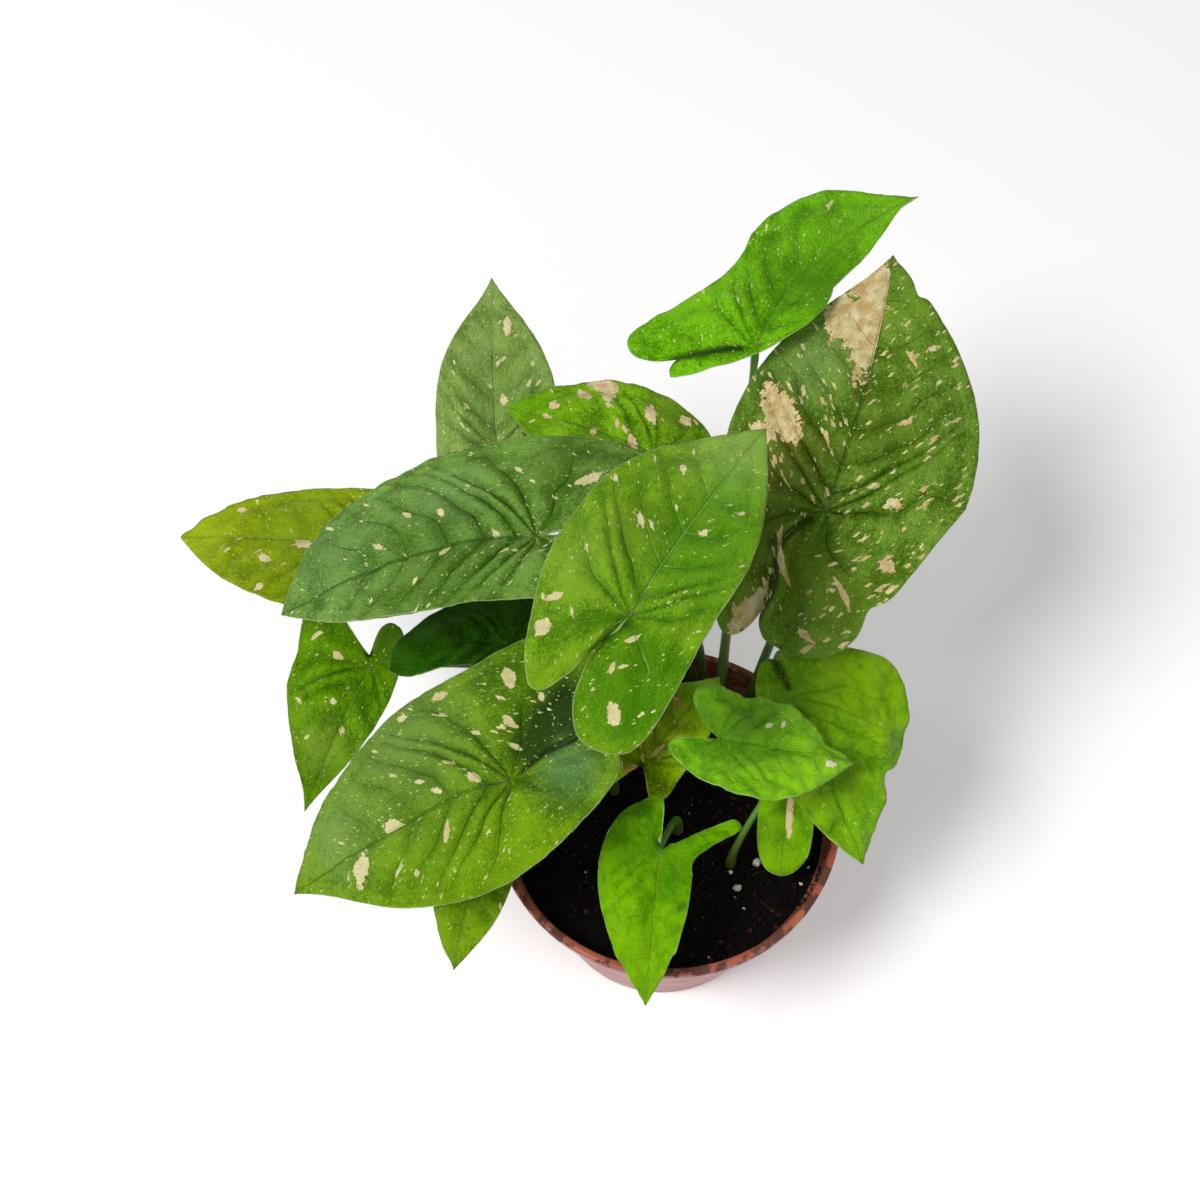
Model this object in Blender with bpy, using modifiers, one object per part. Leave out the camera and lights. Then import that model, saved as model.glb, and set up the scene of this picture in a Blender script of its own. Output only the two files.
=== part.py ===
"""A potted syngonium: arrow-shaped leaves on arching stalks, in a soft plastic nursery pot of soil.

Metres, +Z up. The origin is the middle of the pot's underside. Headings are degrees anticlockwise from +X.
"""

import math
from dataclasses import dataclass

import bmesh
import bpy
from mathutils import Matrix, Vector
from mathutils.geometry import interpolate_bezier

MM = 0.001
GAP = 0.3 * MM  # clearance between neighbouring solids

# Pot: a thin tapered shell with a narrow rolled lip round its mouth.
POT_HEIGHT = 90 * MM
RIM_RADIUS = 60 * MM
LIP_HEIGHT = 4.5 * MM
LIP_ROUND = 0.6 * MM
LIP_STEP = 1.4 * MM  # how far the lip stands out from the wall
BASE_RADIUS = 40 * MM
WALL = 1.2 * MM
FLOOR = 1.6 * MM
BASE_CHAMFER = 1.5 * MM
POT_SIDES = 48
DRAIN_HOLES = 8
DRAIN_RADIUS = 3.5 * MM
DRAIN_CIRCLE = 27 * MM

# Soil: a plug that fills the pot to a little under the rim.
SOIL_TOP = 80 * MM
SOIL_DISH = 1.5 * MM  # how much lower the soil is at the wall than in the middle
SOIL_SIDES = POT_SIDES

# Leaves and stalks.
BLADE = 0.5 * MM  # thickness of a leaf
SINUS_GAP = 0.3 * MM  # half the width of the slit where a leaf meets its stalk
MARGIN_STEPS = (5, 4, 3)  # faces from tip to shoulder, to the end of the lobe, and back to the stalk
SPOKE_STEPS = 4  # faces from the stalk out to the margin
MIDRIB_SOFT = 3.0  # how wide the fold at the midrib is rounded, in millimetres
STALK_TOP = 1.0 * MM  # radius under the leaf
STALK_FOOT = 1.7 * MM  # radius at the soil
STALK_POINTS = 10
STALK_END = 2.0 * MM  # straight length at each end
STALK_BEVEL = 2

LEAF_GREEN = (0.10, 0.30, 0.04, 1)
STALK_GREEN = (0.16, 0.34, 0.05, 1)
TERRACOTTA = (0.48, 0.13, 0.07, 1)
SOIL_BROWN = (0.02, 0.012, 0.008, 1)


@dataclass
class Leaf:
    """One leaf, in millimetres and degrees. Pairs are (left half, right half), seen from the stalk."""

    name: str
    at: tuple  # where the stalk joins the blade: x, y, z
    heading: float  # which way the tip points, in plan
    pitch: float  # how far the tip end rises
    roll: float  # how far the left half rises
    length: float  # from the stalk to the tip
    width: tuple  # half widths
    lobe: tuple  # how far the two rear lobes reach back
    splay: tuple  # how far the ends of the lobes lie from the midrib
    foot: tuple  # where the stalk leaves the soil: x, y
    shoulder: float = 0.12  # place of the widest point, as a share of the length
    tip: tuple = (38, 38)  # angle of the margins to the midrib at the tip
    blunt: tuple = (1, 1)  # how round the lobes end
    waist: tuple = (0, 0)  # how far the margin draws in behind the shoulder
    cleft: float = 0  # how far the slit between the lobes is turned to the left
    close: tuple = (0, 0)  # 1 where the slit stays narrow, 0 where it opens as a wide notch
    swirl: float = 0  # degrees the slit turns to the left close to the stalk
    full: float = 0.45  # how far ahead of the shoulder the blade stays wide
    fold: float = 8  # how far each half rises from the midrib
    camber: float = 0.12  # how far the margins turn down, as a share of the width
    droop: float = 25  # bend from the stalk to the tip
    hang: tuple = (20, 20)  # bend of the lobes
    sweep: float = 0  # sideways bend to the left
    twist: float = 0
    wave: float = 1.0  # height of the ripples along the margin
    waves: float = 5
    phase: float = 0.0
    lean: float = 0.45  # how far the stalk keeps to the direction it starts in
    neck: float = 0.3  # how long the stalk runs square to the blade
    sway: tuple = (0, 0)  # how far the stalk leans out as it rises: x, y


LEAVES = [
    Leaf("leaf_top_arrow", (26, 107, 210), 67, 2, 0, 81, (22, 11), (14, 20), (38, -21), (20, 46),
         shoulder=0.4, tip=(26, 12), blunt=(0.6, 0.4), waist=(10, -12), cleft=56, close=(0.8, 1), full=0.6,
         fold=12, droop=0, hang=(10, 0), sweep=-42, sway=(4, 34)),
    Leaf("leaf_rear_right", (48, 63, 182), 66, 29, 0, 88, (38, 41), (48, 46), (17, 12), (30, 40),
         shoulder=0.16, tip=(33, 36), blunt=(0.35, 1.1), waist=(0, 12), cleft=12, close=(0.8, 0.95),
         swirl=28, full=0.55, droop=20, sweep=14),
    Leaf("leaf_rear_left", (-58, 102, 158), 92, 30, 0, 59, (20, 21), (24, 24), (14, 14), (10, 50),
         shoulder=0.2, tip=(25, 25), full=0.52, droop=16, close=(0.6, 0.6)),
    Leaf("leaf_rear_middle", (-5, 91, 174), 157, 2, 0, 55, (18, 21), (24, 20), (12, 8), (14, 49),
         shoulder=0.25, tip=(30, 34), full=0.5, droop=18, close=(0.6, 0.6)),
    Leaf("leaf_left_wide", (-43, 45, 200), 181, -10, 0, 88, (21, 33), (38, 36), (22, 24), (-2, 42),
         shoulder=0.25, tip=(34, 54), full=0.6, droop=24, sweep=14, blunt=(0.7, 1), close=(0.9, 0.8)),
    Leaf("leaf_front_high", (-15, 1, 232), 57, 7, 0, 76, (30, 22), (32, 36), (13, 18), (4, 42),
         shoulder=0.2, tip=(36, 26), full=0.5, droop=20, blunt=(0.3, 0.85), cleft=14, close=(0.9, 0.9)),
    Leaf("leaf_far_left", (-94, 67, 150), 167, -6, 0, 80, (27, 22), (24, 24), (14, 14), (-8, 48),
         tip=(40, 40), droop=20, close=(0.6, 0.6)),
    Leaf("leaf_left_low", (-101, 37, 124), 240, -25, 0, 57, (12, 24), (16, 10), (3, 30), (-14, 40),
         shoulder=0.2, tip=(12, 12), blunt=(1.2, 0.6), cleft=-34, close=(0.5, 0.5), droop=20, sway=(-28, 12),
         lean=0.3, neck=0.2),
    Leaf("leaf_left_shaded", (-54, 38, 141), 170, -7, 0, 42, (9, 15), (22, 22), (12, 14), (-10, 32),
         shoulder=0.35, tip=(65, 65), droop=20, sweep=36, close=(0.6, 0.6)),
    Leaf("leaf_front_left", (-53, -17, 160), 201, -18, 0, 82, (33, 36), (34, 47), (13, 29), (-12, 22),
         tip=(24, 42), blunt=(0.85, 1.0), waist=(3, 0), cleft=-1,
         full=0.52, close=(1.0, 1.0), droop=20),
    Leaf("leaf_under_left", (-61, -26, 124), 255, -24, 0, 44, (13, 14), (14, 14), (10, 10), (-18, 10),
         tip=(26, 26), full=0.5, droop=20, close=(0.6, 0.6)),
    Leaf("leaf_front_arrow", (-4, -31, 128), 264, -28, 0, 52, (11, 19), (12, 17), (25, 5), (4, -5),
         tip=(22, 28), blunt=(0.6, 1.7), waist=(4, 0), cleft=28, droop=20),
    Leaf("leaf_right_small", (15, -1, 150), 355, -6, 0, 45, (16, 19), (6, 16), (17, 5), (20, 16),
         shoulder=0.25, tip=(24, 42), cleft=20, close=(0.6, 0), droop=20),
    Leaf("leaf_right_round", (40, 18, 140), 297, -22, 0, 61, (36, 15), (15, 15), (8, 4), (32, 28),
         tip=(34, 34), blunt=(1, 0.6), cleft=-2, close=(1, 1), droop=22),
    Leaf("leaf_stub", (40, 4, 118), 265, -20, 0, 38, (9, 9), (8, 8), (6, 6), (22, -17),
         tip=(85, 85), droop=20),
    Leaf("leaf_olive", (-8, 3, 124), 51, 4, 0, 41, (14, 13), (17, 9), (8, 12), (10, 22),
         droop=20),
]

COLLECTION = "potted_syngonium"


def clear_scene():
    for old in list(bpy.data.objects):
        bpy.data.objects.remove(old, do_unlink=True)


def collection(name):
    made = bpy.data.collections.new(name)
    bpy.context.scene.collection.children.link(made)
    return made


def material(name, colour, roughness):
    made = bpy.data.materials.new(name)
    made.use_nodes = True
    shader = made.node_tree.nodes["Principled BSDF"]
    shader.inputs["Base Color"].default_value = colour
    shader.inputs["Roughness"].default_value = roughness
    made.diffuse_color = colour
    return made


def add(name, data, finish, home):
    made = bpy.data.objects.new(name, data)
    home.objects.link(made)
    data.materials.append(finish)
    return made


# ---------------------------------------------------------------- leaf shape


def half_margin(leaf, side, steps):
    """Flat outline of one half, from the tip round the lobe to the stalk. side is 0 for left, 1 for right."""
    length = leaf.length
    widest = leaf.shoulder * length
    reach = length - widest
    slant = math.radians(leaf.tip[side])
    tip = Vector((length, 0))
    shoulder = Vector((widest, leaf.width[side]))
    lobe = Vector((-leaf.lobe[side], leaf.splay[side]))
    across = Vector((lobe.y, -lobe.x)).normalized()  # square to the lobe, towards its outer side
    round_off = across * leaf.blunt[side] * 0.3 * lobe.length
    turn = Matrix.Rotation(math.radians(leaf.cleft if side else -leaf.cleft), 2)
    sinus = turn @ Vector((-0.06 * length, SINUS_GAP / MM))
    slit = turn @ Vector((-0.55 * leaf.lobe[side], SINUS_GAP / MM))
    notch = lobe * 0.45 + across * 0.04 * length
    inner = notch.lerp(slit, leaf.close[side])
    curves = [
        (tip, tip - Vector((math.cos(slant), -math.sin(slant))) * 0.35 * reach,
         shoulder + Vector((leaf.full * reach, 0)), shoulder),
        (shoulder, shoulder - Vector((0.45 * (widest - lobe.x), leaf.waist[side])), lobe + round_off, lobe),
        (lobe, lobe - round_off * (1 + leaf.close[side]), sinus + inner, sinus),
    ]
    points = []
    for (knot, handle_out, handle_in, end), count in zip(curves, steps):
        points += interpolate_bezier(knot, handle_out, handle_in, end, count + 1)[:-1]
    return points + [sinus]


def arc(distance, turn, reach):
    """Where a curve that turns by turn over reach has got to: along its line, off its line, and its angle."""
    if abs(turn) < 1e-6:
        return distance, 0.0, 0.0
    angle = turn * distance / reach
    radius = reach / turn
    return radius * math.sin(angle), radius * (1 - math.cos(angle)), angle


def shaped(leaf, x, y, out, along):
    """What flat point (x, y) becomes in the blade's own frame. out runs 0 to 1 from the stalk to the margin,
    and along 0 to 1 round the margin: the right half, the tip, the left half."""
    side = 1 if along < 0.5 else 0
    half = leaf.width[side]
    away = math.hypot(x, y) + 0.01
    swirl = math.radians(leaf.swirl) * max(0, -x / away) * math.exp(-((away / 22) ** 4))
    x, y = x * math.cos(swirl) + y * math.sin(swirl), y * math.cos(swirl) - x * math.sin(swirl)
    z = math.tan(math.radians(leaf.fold)) * (math.hypot(y, MIDRIB_SOFT) - MIDRIB_SOFT)
    z -= leaf.camber * y * y / half
    z += leaf.wave * out * out * math.sin(2 * math.pi * leaf.waves * along + leaf.phase)
    if x > 0:
        turn = math.radians(leaf.twist) * x / leaf.length
        y, z = y * math.cos(turn) - z * math.sin(turn), y * math.sin(turn) + z * math.cos(turn)
        x, aside, swing = arc(x, math.radians(leaf.sweep), leaf.length)
        x, y = x - y * math.sin(swing), aside + y * math.cos(swing)
    reach = leaf.length if x > 0 else leaf.lobe[side]
    bend = math.radians(leaf.droop if x > 0 else leaf.hang[side])
    ahead, drop, angle = arc(abs(x), bend, reach)
    ahead += z * math.sin(angle)
    return Vector((math.copysign(ahead, x), y, z * math.cos(angle) - drop)) * MM


def leaf_frame(leaf):
    """Matrix that puts the blade where it grows."""
    return (
        Matrix.Translation(Vector(leaf.at) * MM)
        @ Matrix.Rotation(math.radians(leaf.heading), 4, "Z")
        @ Matrix.Rotation(math.radians(-leaf.pitch), 4, "Y")
        @ Matrix.Rotation(math.radians(leaf.roll), 4, "X")
    )


def leaf_outline(leaf):
    """The whole flat margin: down the right half from the stalk to the tip, and back up the left half."""
    left = half_margin(leaf, 0, MARGIN_STEPS)
    right = [Vector((p.x, -p.y)) for p in half_margin(leaf, 1, MARGIN_STEPS)]
    return right[::-1] + left[1:]


def make_leaf(leaf, finish, home):
    """A grid whose rows run from the stalk to the margin, shaped and thickened."""
    margin = leaf_outline(leaf)
    mesh = bpy.data.meshes.new(leaf.name)
    bm = bmesh.new()
    bmesh.ops.create_grid(bm, x_segments=len(margin) - 1, y_segments=SPOKE_STEPS, size=0.5)
    for vertex in bm.verts:
        along = vertex.co.x + 0.5
        out = vertex.co.y + 0.5
        flat = margin[round(along * (len(margin) - 1))] * out
        vertex.co = shaped(leaf, flat.x, flat.y, out, along)
    bmesh.ops.remove_doubles(bm, verts=bm.verts, dist=0.02 * MM)
    bmesh.ops.recalc_face_normals(bm, faces=bm.faces)
    if sum(face.normal.z for face in bm.faces) < 0:
        bmesh.ops.reverse_faces(bm, faces=bm.faces)
    bm.to_mesh(mesh)
    bm.free()
    mesh.shade_smooth()
    blade = add(leaf.name, mesh, finish, home)
    blade.matrix_world = leaf_frame(leaf)
    skin = blade.modifiers.new("thickness", "SOLIDIFY")
    skin.thickness = BLADE
    skin.offset = 0
    return blade


# ---------------------------------------------------------------- stalks


def tube(name, points, radii, finish, home):
    curve = bpy.data.curves.new(name, "CURVE")
    curve.dimensions = "3D"
    curve.bevel_depth = 1.0
    curve.bevel_resolution = STALK_BEVEL
    curve.use_fill_caps = True
    spline = curve.splines.new("POLY")
    spline.points.add(len(points) - 1)
    for place, point, radius in zip(spline.points, points, radii):
        place.co = (*point, 1)
        place.radius = radius
    return add(name, curve, finish, home)


def stalk_path(leaf):
    """Straight up from the soil, over in a curve, and square on to the underside of the blade."""
    frame = leaf_frame(leaf)
    square = (frame.to_3x3() @ Vector((0, 0, 1))).normalized()
    top = frame.translation - square * (BLADE / 2 + GAP)
    foot = Vector((leaf.foot[0] * MM, leaf.foot[1] * MM, soil_height(leaf.foot) + GAP))
    start = foot + Vector((0, 0, STALK_END))
    end = top - square * STALK_END
    span = (end - start).length
    rise = Vector((leaf.sway[0] * MM, leaf.sway[1] * MM, leaf.lean * span))
    bow = interpolate_bezier(start, start + rise, end - square * leaf.neck * span, end, STALK_POINTS)
    return [foot] + bow + [top]


def make_stalk(leaf, finish, home):
    points = stalk_path(leaf)
    last = len(points) - 1
    radii = [STALK_FOOT + (STALK_TOP - STALK_FOOT) * i / last for i in range(last + 1)]
    return tube(leaf.name.replace("leaf", "stalk"), points, radii, finish, home)


# ---------------------------------------------------------------- pot and soil


def turned(name, profile, sides, finish, home):
    """A profile in the XZ plane, listed down its outer side, turned about Z."""
    mesh = bpy.data.meshes.new(name)
    edges = [(i, i + 1) for i in range(len(profile) - 1)]
    mesh.from_pydata([(x, 0, z) for x, z in profile], edges, [])
    made = add(name, mesh, finish, home)
    screw = made.modifiers.new("turn", "SCREW")
    screw.steps = screw.render_steps = sides
    screw.use_merge_vertices = True
    screw.merge_threshold = 0.01 * MM
    screw.use_normal_calculate = True
    return made


def pot_radius(z):
    """Outer radius of the tapered wall."""
    return BASE_RADIUS + (RIM_RADIUS - LIP_STEP - BASE_RADIUS) * z / POT_HEIGHT


def pot_profile():
    under_lip = POT_HEIGHT - LIP_HEIGHT
    inner_rim = pot_radius(POT_HEIGHT) - WALL
    return [
        (0, FLOOR),
        (pot_radius(FLOOR) - WALL, FLOOR),
        (inner_rim, POT_HEIGHT - LIP_ROUND),
        (inner_rim + LIP_ROUND, POT_HEIGHT),
        (RIM_RADIUS - LIP_ROUND, POT_HEIGHT),
        (RIM_RADIUS, POT_HEIGHT - LIP_ROUND),
        (RIM_RADIUS - LIP_ROUND, under_lip),
        (pot_radius(under_lip), under_lip),
        (pot_radius(BASE_CHAMFER), BASE_CHAMFER),
        (BASE_RADIUS - BASE_CHAMFER, 0),
        (0, 0),
    ]


def make_pot(finish, home, cutters):
    pot = turned("pot", pot_profile(), POT_SIDES, finish, home)
    for i in range(DRAIN_HOLES):
        angle = 2 * math.pi * (i + 0.5) / DRAIN_HOLES
        mesh = bpy.data.meshes.new(f"drain_cutter_{i + 1}")
        bm = bmesh.new()
        bmesh.ops.create_cone(bm, cap_ends=True, segments=12, radius1=DRAIN_RADIUS, radius2=DRAIN_RADIUS,
                              depth=4 * FLOOR)
        bm.to_mesh(mesh)
        bm.free()
        cutter = add(mesh.name, mesh, finish, cutters)
        cutter.location = (DRAIN_CIRCLE * math.cos(angle), DRAIN_CIRCLE * math.sin(angle), 0)
        cutter.hide_render = True
        cutter.display_type = "WIRE"
        cut = pot.modifiers.new(mesh.name, "BOOLEAN")
        cut.operation = "DIFFERENCE"
        cut.object = cutter
    return pot


def soil_height(at):
    """Height of the soil under (x, y), in millimetres, as metres."""
    reach = min(math.hypot(*at) * MM / RIM_RADIUS, 1)
    return SOIL_TOP - SOIL_DISH * reach * reach


def make_soil(finish, home):
    inner = pot_radius(SOIL_TOP - SOIL_DISH) - WALL - GAP
    rings = [i / 4 for i in range(5)]
    top = [(inner * r, soil_height((inner * r / MM, 0))) for r in rings]
    low = FLOOR + GAP
    return turned("soil", top + [(pot_radius(low) - WALL - GAP, low), (0, low)], SOIL_SIDES, finish, home)


def main():
    clear_scene()
    home = collection(COLLECTION)
    cutters = collection("cutters")
    plastic = material("terracotta_plastic", TERRACOTTA, 0.45)
    earth = material("soil", SOIL_BROWN, 0.95)
    green = material("leaf", LEAF_GREEN, 0.4)
    stalk_green = material("stalk", STALK_GREEN, 0.45)
    make_pot(plastic, home, cutters)
    make_soil(earth, home)
    for leaf in LEAVES:
        make_leaf(leaf, green, home)
        make_stalk(leaf, stalk_green, home)


main()
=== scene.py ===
# %% [markdown]
# # A potted syngonium
# A young arrowhead vine: sixteen speckled, arrow-shaped leaves on long stalks in a thin nursery pot. Each
# leaf is a blade, a stalk and the rib under the blade. They grow from a table with one row a leaf, so a
# change to one row changes that leaf and nothing else. The imported model is loaded first: the pot and the
# soil take their sizes from it, and its parts are hidden where a piece here stands for them.

# %% Load the frame
import math
from dataclasses import dataclass

import bmesh
import bpy
import numpy as np
from mathutils import Matrix, Vector, noise
from mathutils.geometry import interpolate_bezier


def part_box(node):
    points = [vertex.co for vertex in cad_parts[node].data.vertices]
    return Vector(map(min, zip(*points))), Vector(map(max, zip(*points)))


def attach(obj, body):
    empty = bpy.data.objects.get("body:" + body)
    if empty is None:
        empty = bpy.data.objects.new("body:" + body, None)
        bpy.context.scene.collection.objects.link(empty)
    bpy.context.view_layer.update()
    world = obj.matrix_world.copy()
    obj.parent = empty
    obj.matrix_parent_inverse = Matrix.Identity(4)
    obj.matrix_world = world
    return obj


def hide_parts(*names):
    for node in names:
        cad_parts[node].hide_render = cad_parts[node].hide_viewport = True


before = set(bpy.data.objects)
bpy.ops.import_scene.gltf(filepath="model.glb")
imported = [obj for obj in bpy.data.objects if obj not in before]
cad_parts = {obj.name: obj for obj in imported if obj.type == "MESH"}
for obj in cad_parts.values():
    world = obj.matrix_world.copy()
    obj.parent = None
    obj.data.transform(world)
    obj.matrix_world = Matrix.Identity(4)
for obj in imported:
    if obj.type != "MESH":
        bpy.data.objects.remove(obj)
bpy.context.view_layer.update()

MM = 0.001
scene = bpy.context.scene

# %% [markdown]
# ## Camera
# A plant on a table is seen from above, so the camera looks down steeply with a normal lens.

# %% Camera
AIM = Vector((-0.023, 0.048, 0.15))
LOOK_DOWN = math.radians(62)
DISTANCE = 0.6
camera = bpy.data.objects.new("camera", bpy.data.cameras.new("camera"))
scene.collection.objects.link(camera)
camera.data.lens = 55
camera.data.sensor_width = 36
camera.data.clip_start = 0.01
camera.location = AIM + DISTANCE * Vector((0, -math.cos(LOOK_DOWN), math.sin(LOOK_DOWN)))
camera.rotation_euler = (math.pi / 2 - LOOK_DOWN, 0, 0)
scene.camera = camera
scene.view_settings.view_transform = "Standard"
print("camera at", camera.location[:])

# %% [markdown]
# ## Writing shaders as arithmetic
# A material is a small diagram of nodes. Here each output of a node is wrapped as a Value, and arithmetic
# on it adds the nodes that work it out, so `veins * 0.5 + cloud` is two Math nodes. Colours are written as
# they look on a screen, and turned into the linear numbers that a renderer counts in.


# %% Shader helpers
def paint(code):
    """A screen colour such as '4f8a12' as the linear colour that a shader needs."""
    parts = [int(code[i:i + 2], 16) / 255 for i in (0, 2, 4)]
    return (*(c / 12.92 if c <= 0.04045 else ((c + 0.055) / 1.055) ** 2.4 for c in parts), 1)


def plug(socket, value):
    """Joins a Value to a socket, or sets the socket to a constant. None leaves it as it is."""
    if isinstance(value, Value):
        socket.id_data.links.new(value.socket, socket)
    elif value is not None:
        socket.default_value = value


def put(tree, kind, *inputs, **settings):
    """Adds a node and fills its inputs in turn."""
    made = tree.nodes.new("ShaderNode" + kind)
    for key, value in settings.items():
        setattr(made, key, value)
    for socket, value in zip(made.inputs, inputs):
        plug(socket, value)
    return Outputs(made)


class Outputs:
    """What a node gives out, looked up by name or by number."""

    def __init__(self, node):
        self.node = node

    def __getitem__(self, key):
        return Value(self.node.outputs[key])


class Value:
    """One output of a node."""

    def __init__(self, socket):
        self.socket = socket

    def into(self, kind, *others, **settings):
        """Adds a node whose first input is this value."""
        return put(self.socket.id_data, kind, self, *others, **settings)

    def maths(self, operation, *others):
        return self.into("Math", *others, operation=operation)[0]

    def vectors(self, operation, *others):
        return self.into("VectorMath", *others, operation=operation)[0]

    def __add__(self, other):
        return self.maths("ADD", other)

    def __sub__(self, other):
        return self.maths("SUBTRACT", other)

    def __mul__(self, other):
        return self.maths("MULTIPLY", other)

    def __truediv__(self, other):
        return self.maths("DIVIDE", other)

    def __rtruediv__(self, other):
        return put(self.socket.id_data, "Math", other, self, operation="DIVIDE")[0]

    def __abs__(self):
        return self.maths("ABSOLUTE")

    def top(self, other):
        """Whichever is greater."""
        return self.maths("MAXIMUM", other)

    def below(self, other):
        """1 where this is less than the other, 0 elsewhere."""
        return self.maths("LESS_THAN", other)

    def ramp(self, low, high, start=0.0, end=1.0):
        """Goes smoothly from start to end as the value goes from low to high."""
        return self.into("MapRange", low, high, start, end, interpolation_type="SMOOTHSTEP")[0]

    def grain(self, scale, detail=3.0, roughness=0.55):
        """Cloudy noise between 0 and 1, at the place that this value gives."""
        return self.into("TexNoise", None, scale, detail, roughness)[0]

    def mix(self, first, second):
        """The first colour where this is 0, going to the second where it is 1."""
        made = self.into("Mix", data_type="RGBA").node
        plug(made.inputs[6], first)
        plug(made.inputs[7], second)
        return Value(made.outputs[2])


def carried(tree, name):
    """What the mesh carries under this name."""
    return put(tree, "Attribute", attribute_name=name)


def new_group(name, inputs, outputs):
    """An empty node group with named numbers in and out."""
    tree = bpy.data.node_groups.new(name, "ShaderNodeTree")
    for label, value in inputs.items():
        tree.interface.new_socket(label, in_out="INPUT", socket_type="NodeSocketFloat").default_value = value
    for label in outputs:
        tree.interface.new_socket(label, in_out="OUTPUT", socket_type="NodeSocketFloat")
    return tree, Outputs(tree.nodes.new("NodeGroupInput")), tree.nodes.new("NodeGroupOutput").inputs


def use(tree, group, **values):
    """Places a group in a material and sets its inputs by name, with _ for a space."""
    made = tree.nodes.new("ShaderNodeGroup")
    made.node_tree = group
    for label, value in values.items():
        plug(made.inputs[label.replace("_", " ")], value)
    return Outputs(made)


def new_material(name):
    made = bpy.data.materials.new(name)
    made.use_nodes = True
    return made, made.node_tree, made.node_tree.nodes["Principled BSDF"]


def finish_surface(shader, colour, roughness, height=None, depth=0.0002, specular=0.5):
    """Joins colour, roughness and a height to the shader. A height of 1 stands depth metres high."""
    plug(shader.inputs["Base Color"], colour)
    plug(shader.inputs["Roughness"], roughness)
    plug(shader.inputs["Specular IOR Level"], specular)
    if height is not None:
        plug(shader.inputs["Normal"], put(shader.id_data, "Bump", 1.0, depth, None, height)[0])


def seen(tree):
    """1 in what the eye sees of a surface, straight on, in a reflection or through glass."""
    rays = put(tree, "LightPath")
    return rays["Is Camera Ray"].top(rays["Is Glossy Ray"]).top(rays["Is Transmission Ray"])


print("green 4f8a12 is", [round(c, 3) for c in paint("4f8a12")])

# %% [markdown]
# ## Floor, lamps and background
# One broad lamp on the front left gives soft highlights and a soft shadow on the right. A second fills from
# the other side. The world adds even light, so a colour comes out about as it is written. The floor is one
# pale matt sheet that takes the shadow, and to the camera it adds a little plain white light of its own.

# %% Floor and lights
FLOOR_SIDE = 6.0
FLOOR_GLOW = 0.23  # plain white light that the floor adds to what the camera sees of it
WORLD_LIGHT = 0.25


def make_floor():
    mesh = bpy.data.meshes.new("floor")
    half = FLOOR_SIDE / 2
    corners = [(-half, -half, 0), (half, -half, 0), (half, half, 0), (-half, half, 0)]
    mesh.from_pydata(corners, [], [(0, 1, 2, 3)])
    floor = bpy.data.objects.new("floor", mesh)
    scene.collection.objects.link(floor)
    made, tree, shader = new_material("pale_floor")
    finish_surface(shader, (0.88, 0.88, 0.88, 1), 1.0, specular=0.0)
    white = put(tree, "Emission", (1, 1, 1, 1), seen(tree) * FLOOR_GLOW)[0]
    both = put(tree, "AddShader", Value(shader.outputs[0]), white)[0]
    plug(tree.nodes["Material Output"].inputs["Surface"], both)
    mesh.materials.append(made)


def make_lamp(name, place, size, power):
    lamp = bpy.data.objects.new(name, bpy.data.lights.new(name, "AREA"))
    scene.collection.objects.link(lamp)
    lamp.data.shape = "DISK"
    lamp.data.size = size
    lamp.data.energy = power
    lamp.location = place
    lamp.rotation_euler = (AIM - Vector(place)).to_track_quat("-Z", "Y").to_euler()


def make_world():
    world = bpy.data.worlds.new("studio")
    scene.world = world
    world.use_nodes = True
    back = world.node_tree.nodes["Background"]
    back.inputs["Color"].default_value = (1, 1, 1, 1)
    plug(back.inputs["Strength"], seen(world.node_tree).into("MapRange", 0.0, 1.0, WORLD_LIGHT, 1.0)[0])


make_floor()
make_lamp("key", (-0.99, -0.59, 2.0), 0.8, 41)
make_lamp("fill", (0.55, -0.7, 1.1), 0.9, 2)
make_world()

# %% [markdown]
# ## The leaves as a table
# A syngonium leaf is an arrowhead: a pointed blade with two lobes behind the stalk. One row gives where the
# stalk meets the blade, which way the blade points and tips, how long and wide its halves are, and how it
# bends.


# %% One leaf's measures
@dataclass
class Leaf:
    """One leaf, in millimetres and degrees. Pairs are (left half, right half), seen from the stalk."""

    name: str
    at: tuple  # where the stalk joins the blade: x, y, z
    heading: float  # which way the tip points, in plan
    pitch: float  # how far the tip end rises
    roll: float  # how far the left half rises
    length: float  # from the stalk to the tip
    width: tuple  # half widths
    lobe: tuple  # how far the two rear lobes reach back
    splay: tuple  # how far the ends of the lobes lie from the midrib
    foot: tuple  # where the stalk leaves the soil: x, y
    shoulder: float = 0.12  # place of the widest point, as a share of the length
    tip: tuple = (38, 38)  # angle of the margins to the midrib at the tip
    blunt: tuple = (1, 1)  # how round the lobes end
    waist: tuple = (0, 0)  # how far the margin draws in behind the shoulder
    cleft: float = 0  # how far the slit between the lobes is turned to the left
    close: tuple = (0, 0)  # 1 where the slit stays narrow, 0 where it opens as a wide notch
    swirl: float = 0  # degrees the slit turns to the left close to the stalk
    full: float = 0.45  # how far ahead of the shoulder the blade stays wide
    fold: float = 8  # how far each half rises from the midrib
    droop: float = 20  # bend from the stalk to the tip
    hang: tuple = (20, 20)  # bend of the lobes
    sweep: float = 0  # sideways bend to the left
    lean: float = 0.45  # how far the stalk keeps to the direction it starts in
    neck: float = 0.3  # how long the stalk runs square to the blade
    sway: tuple = (0, 0)  # how far the stalk leans out as it rises: x, y


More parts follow.
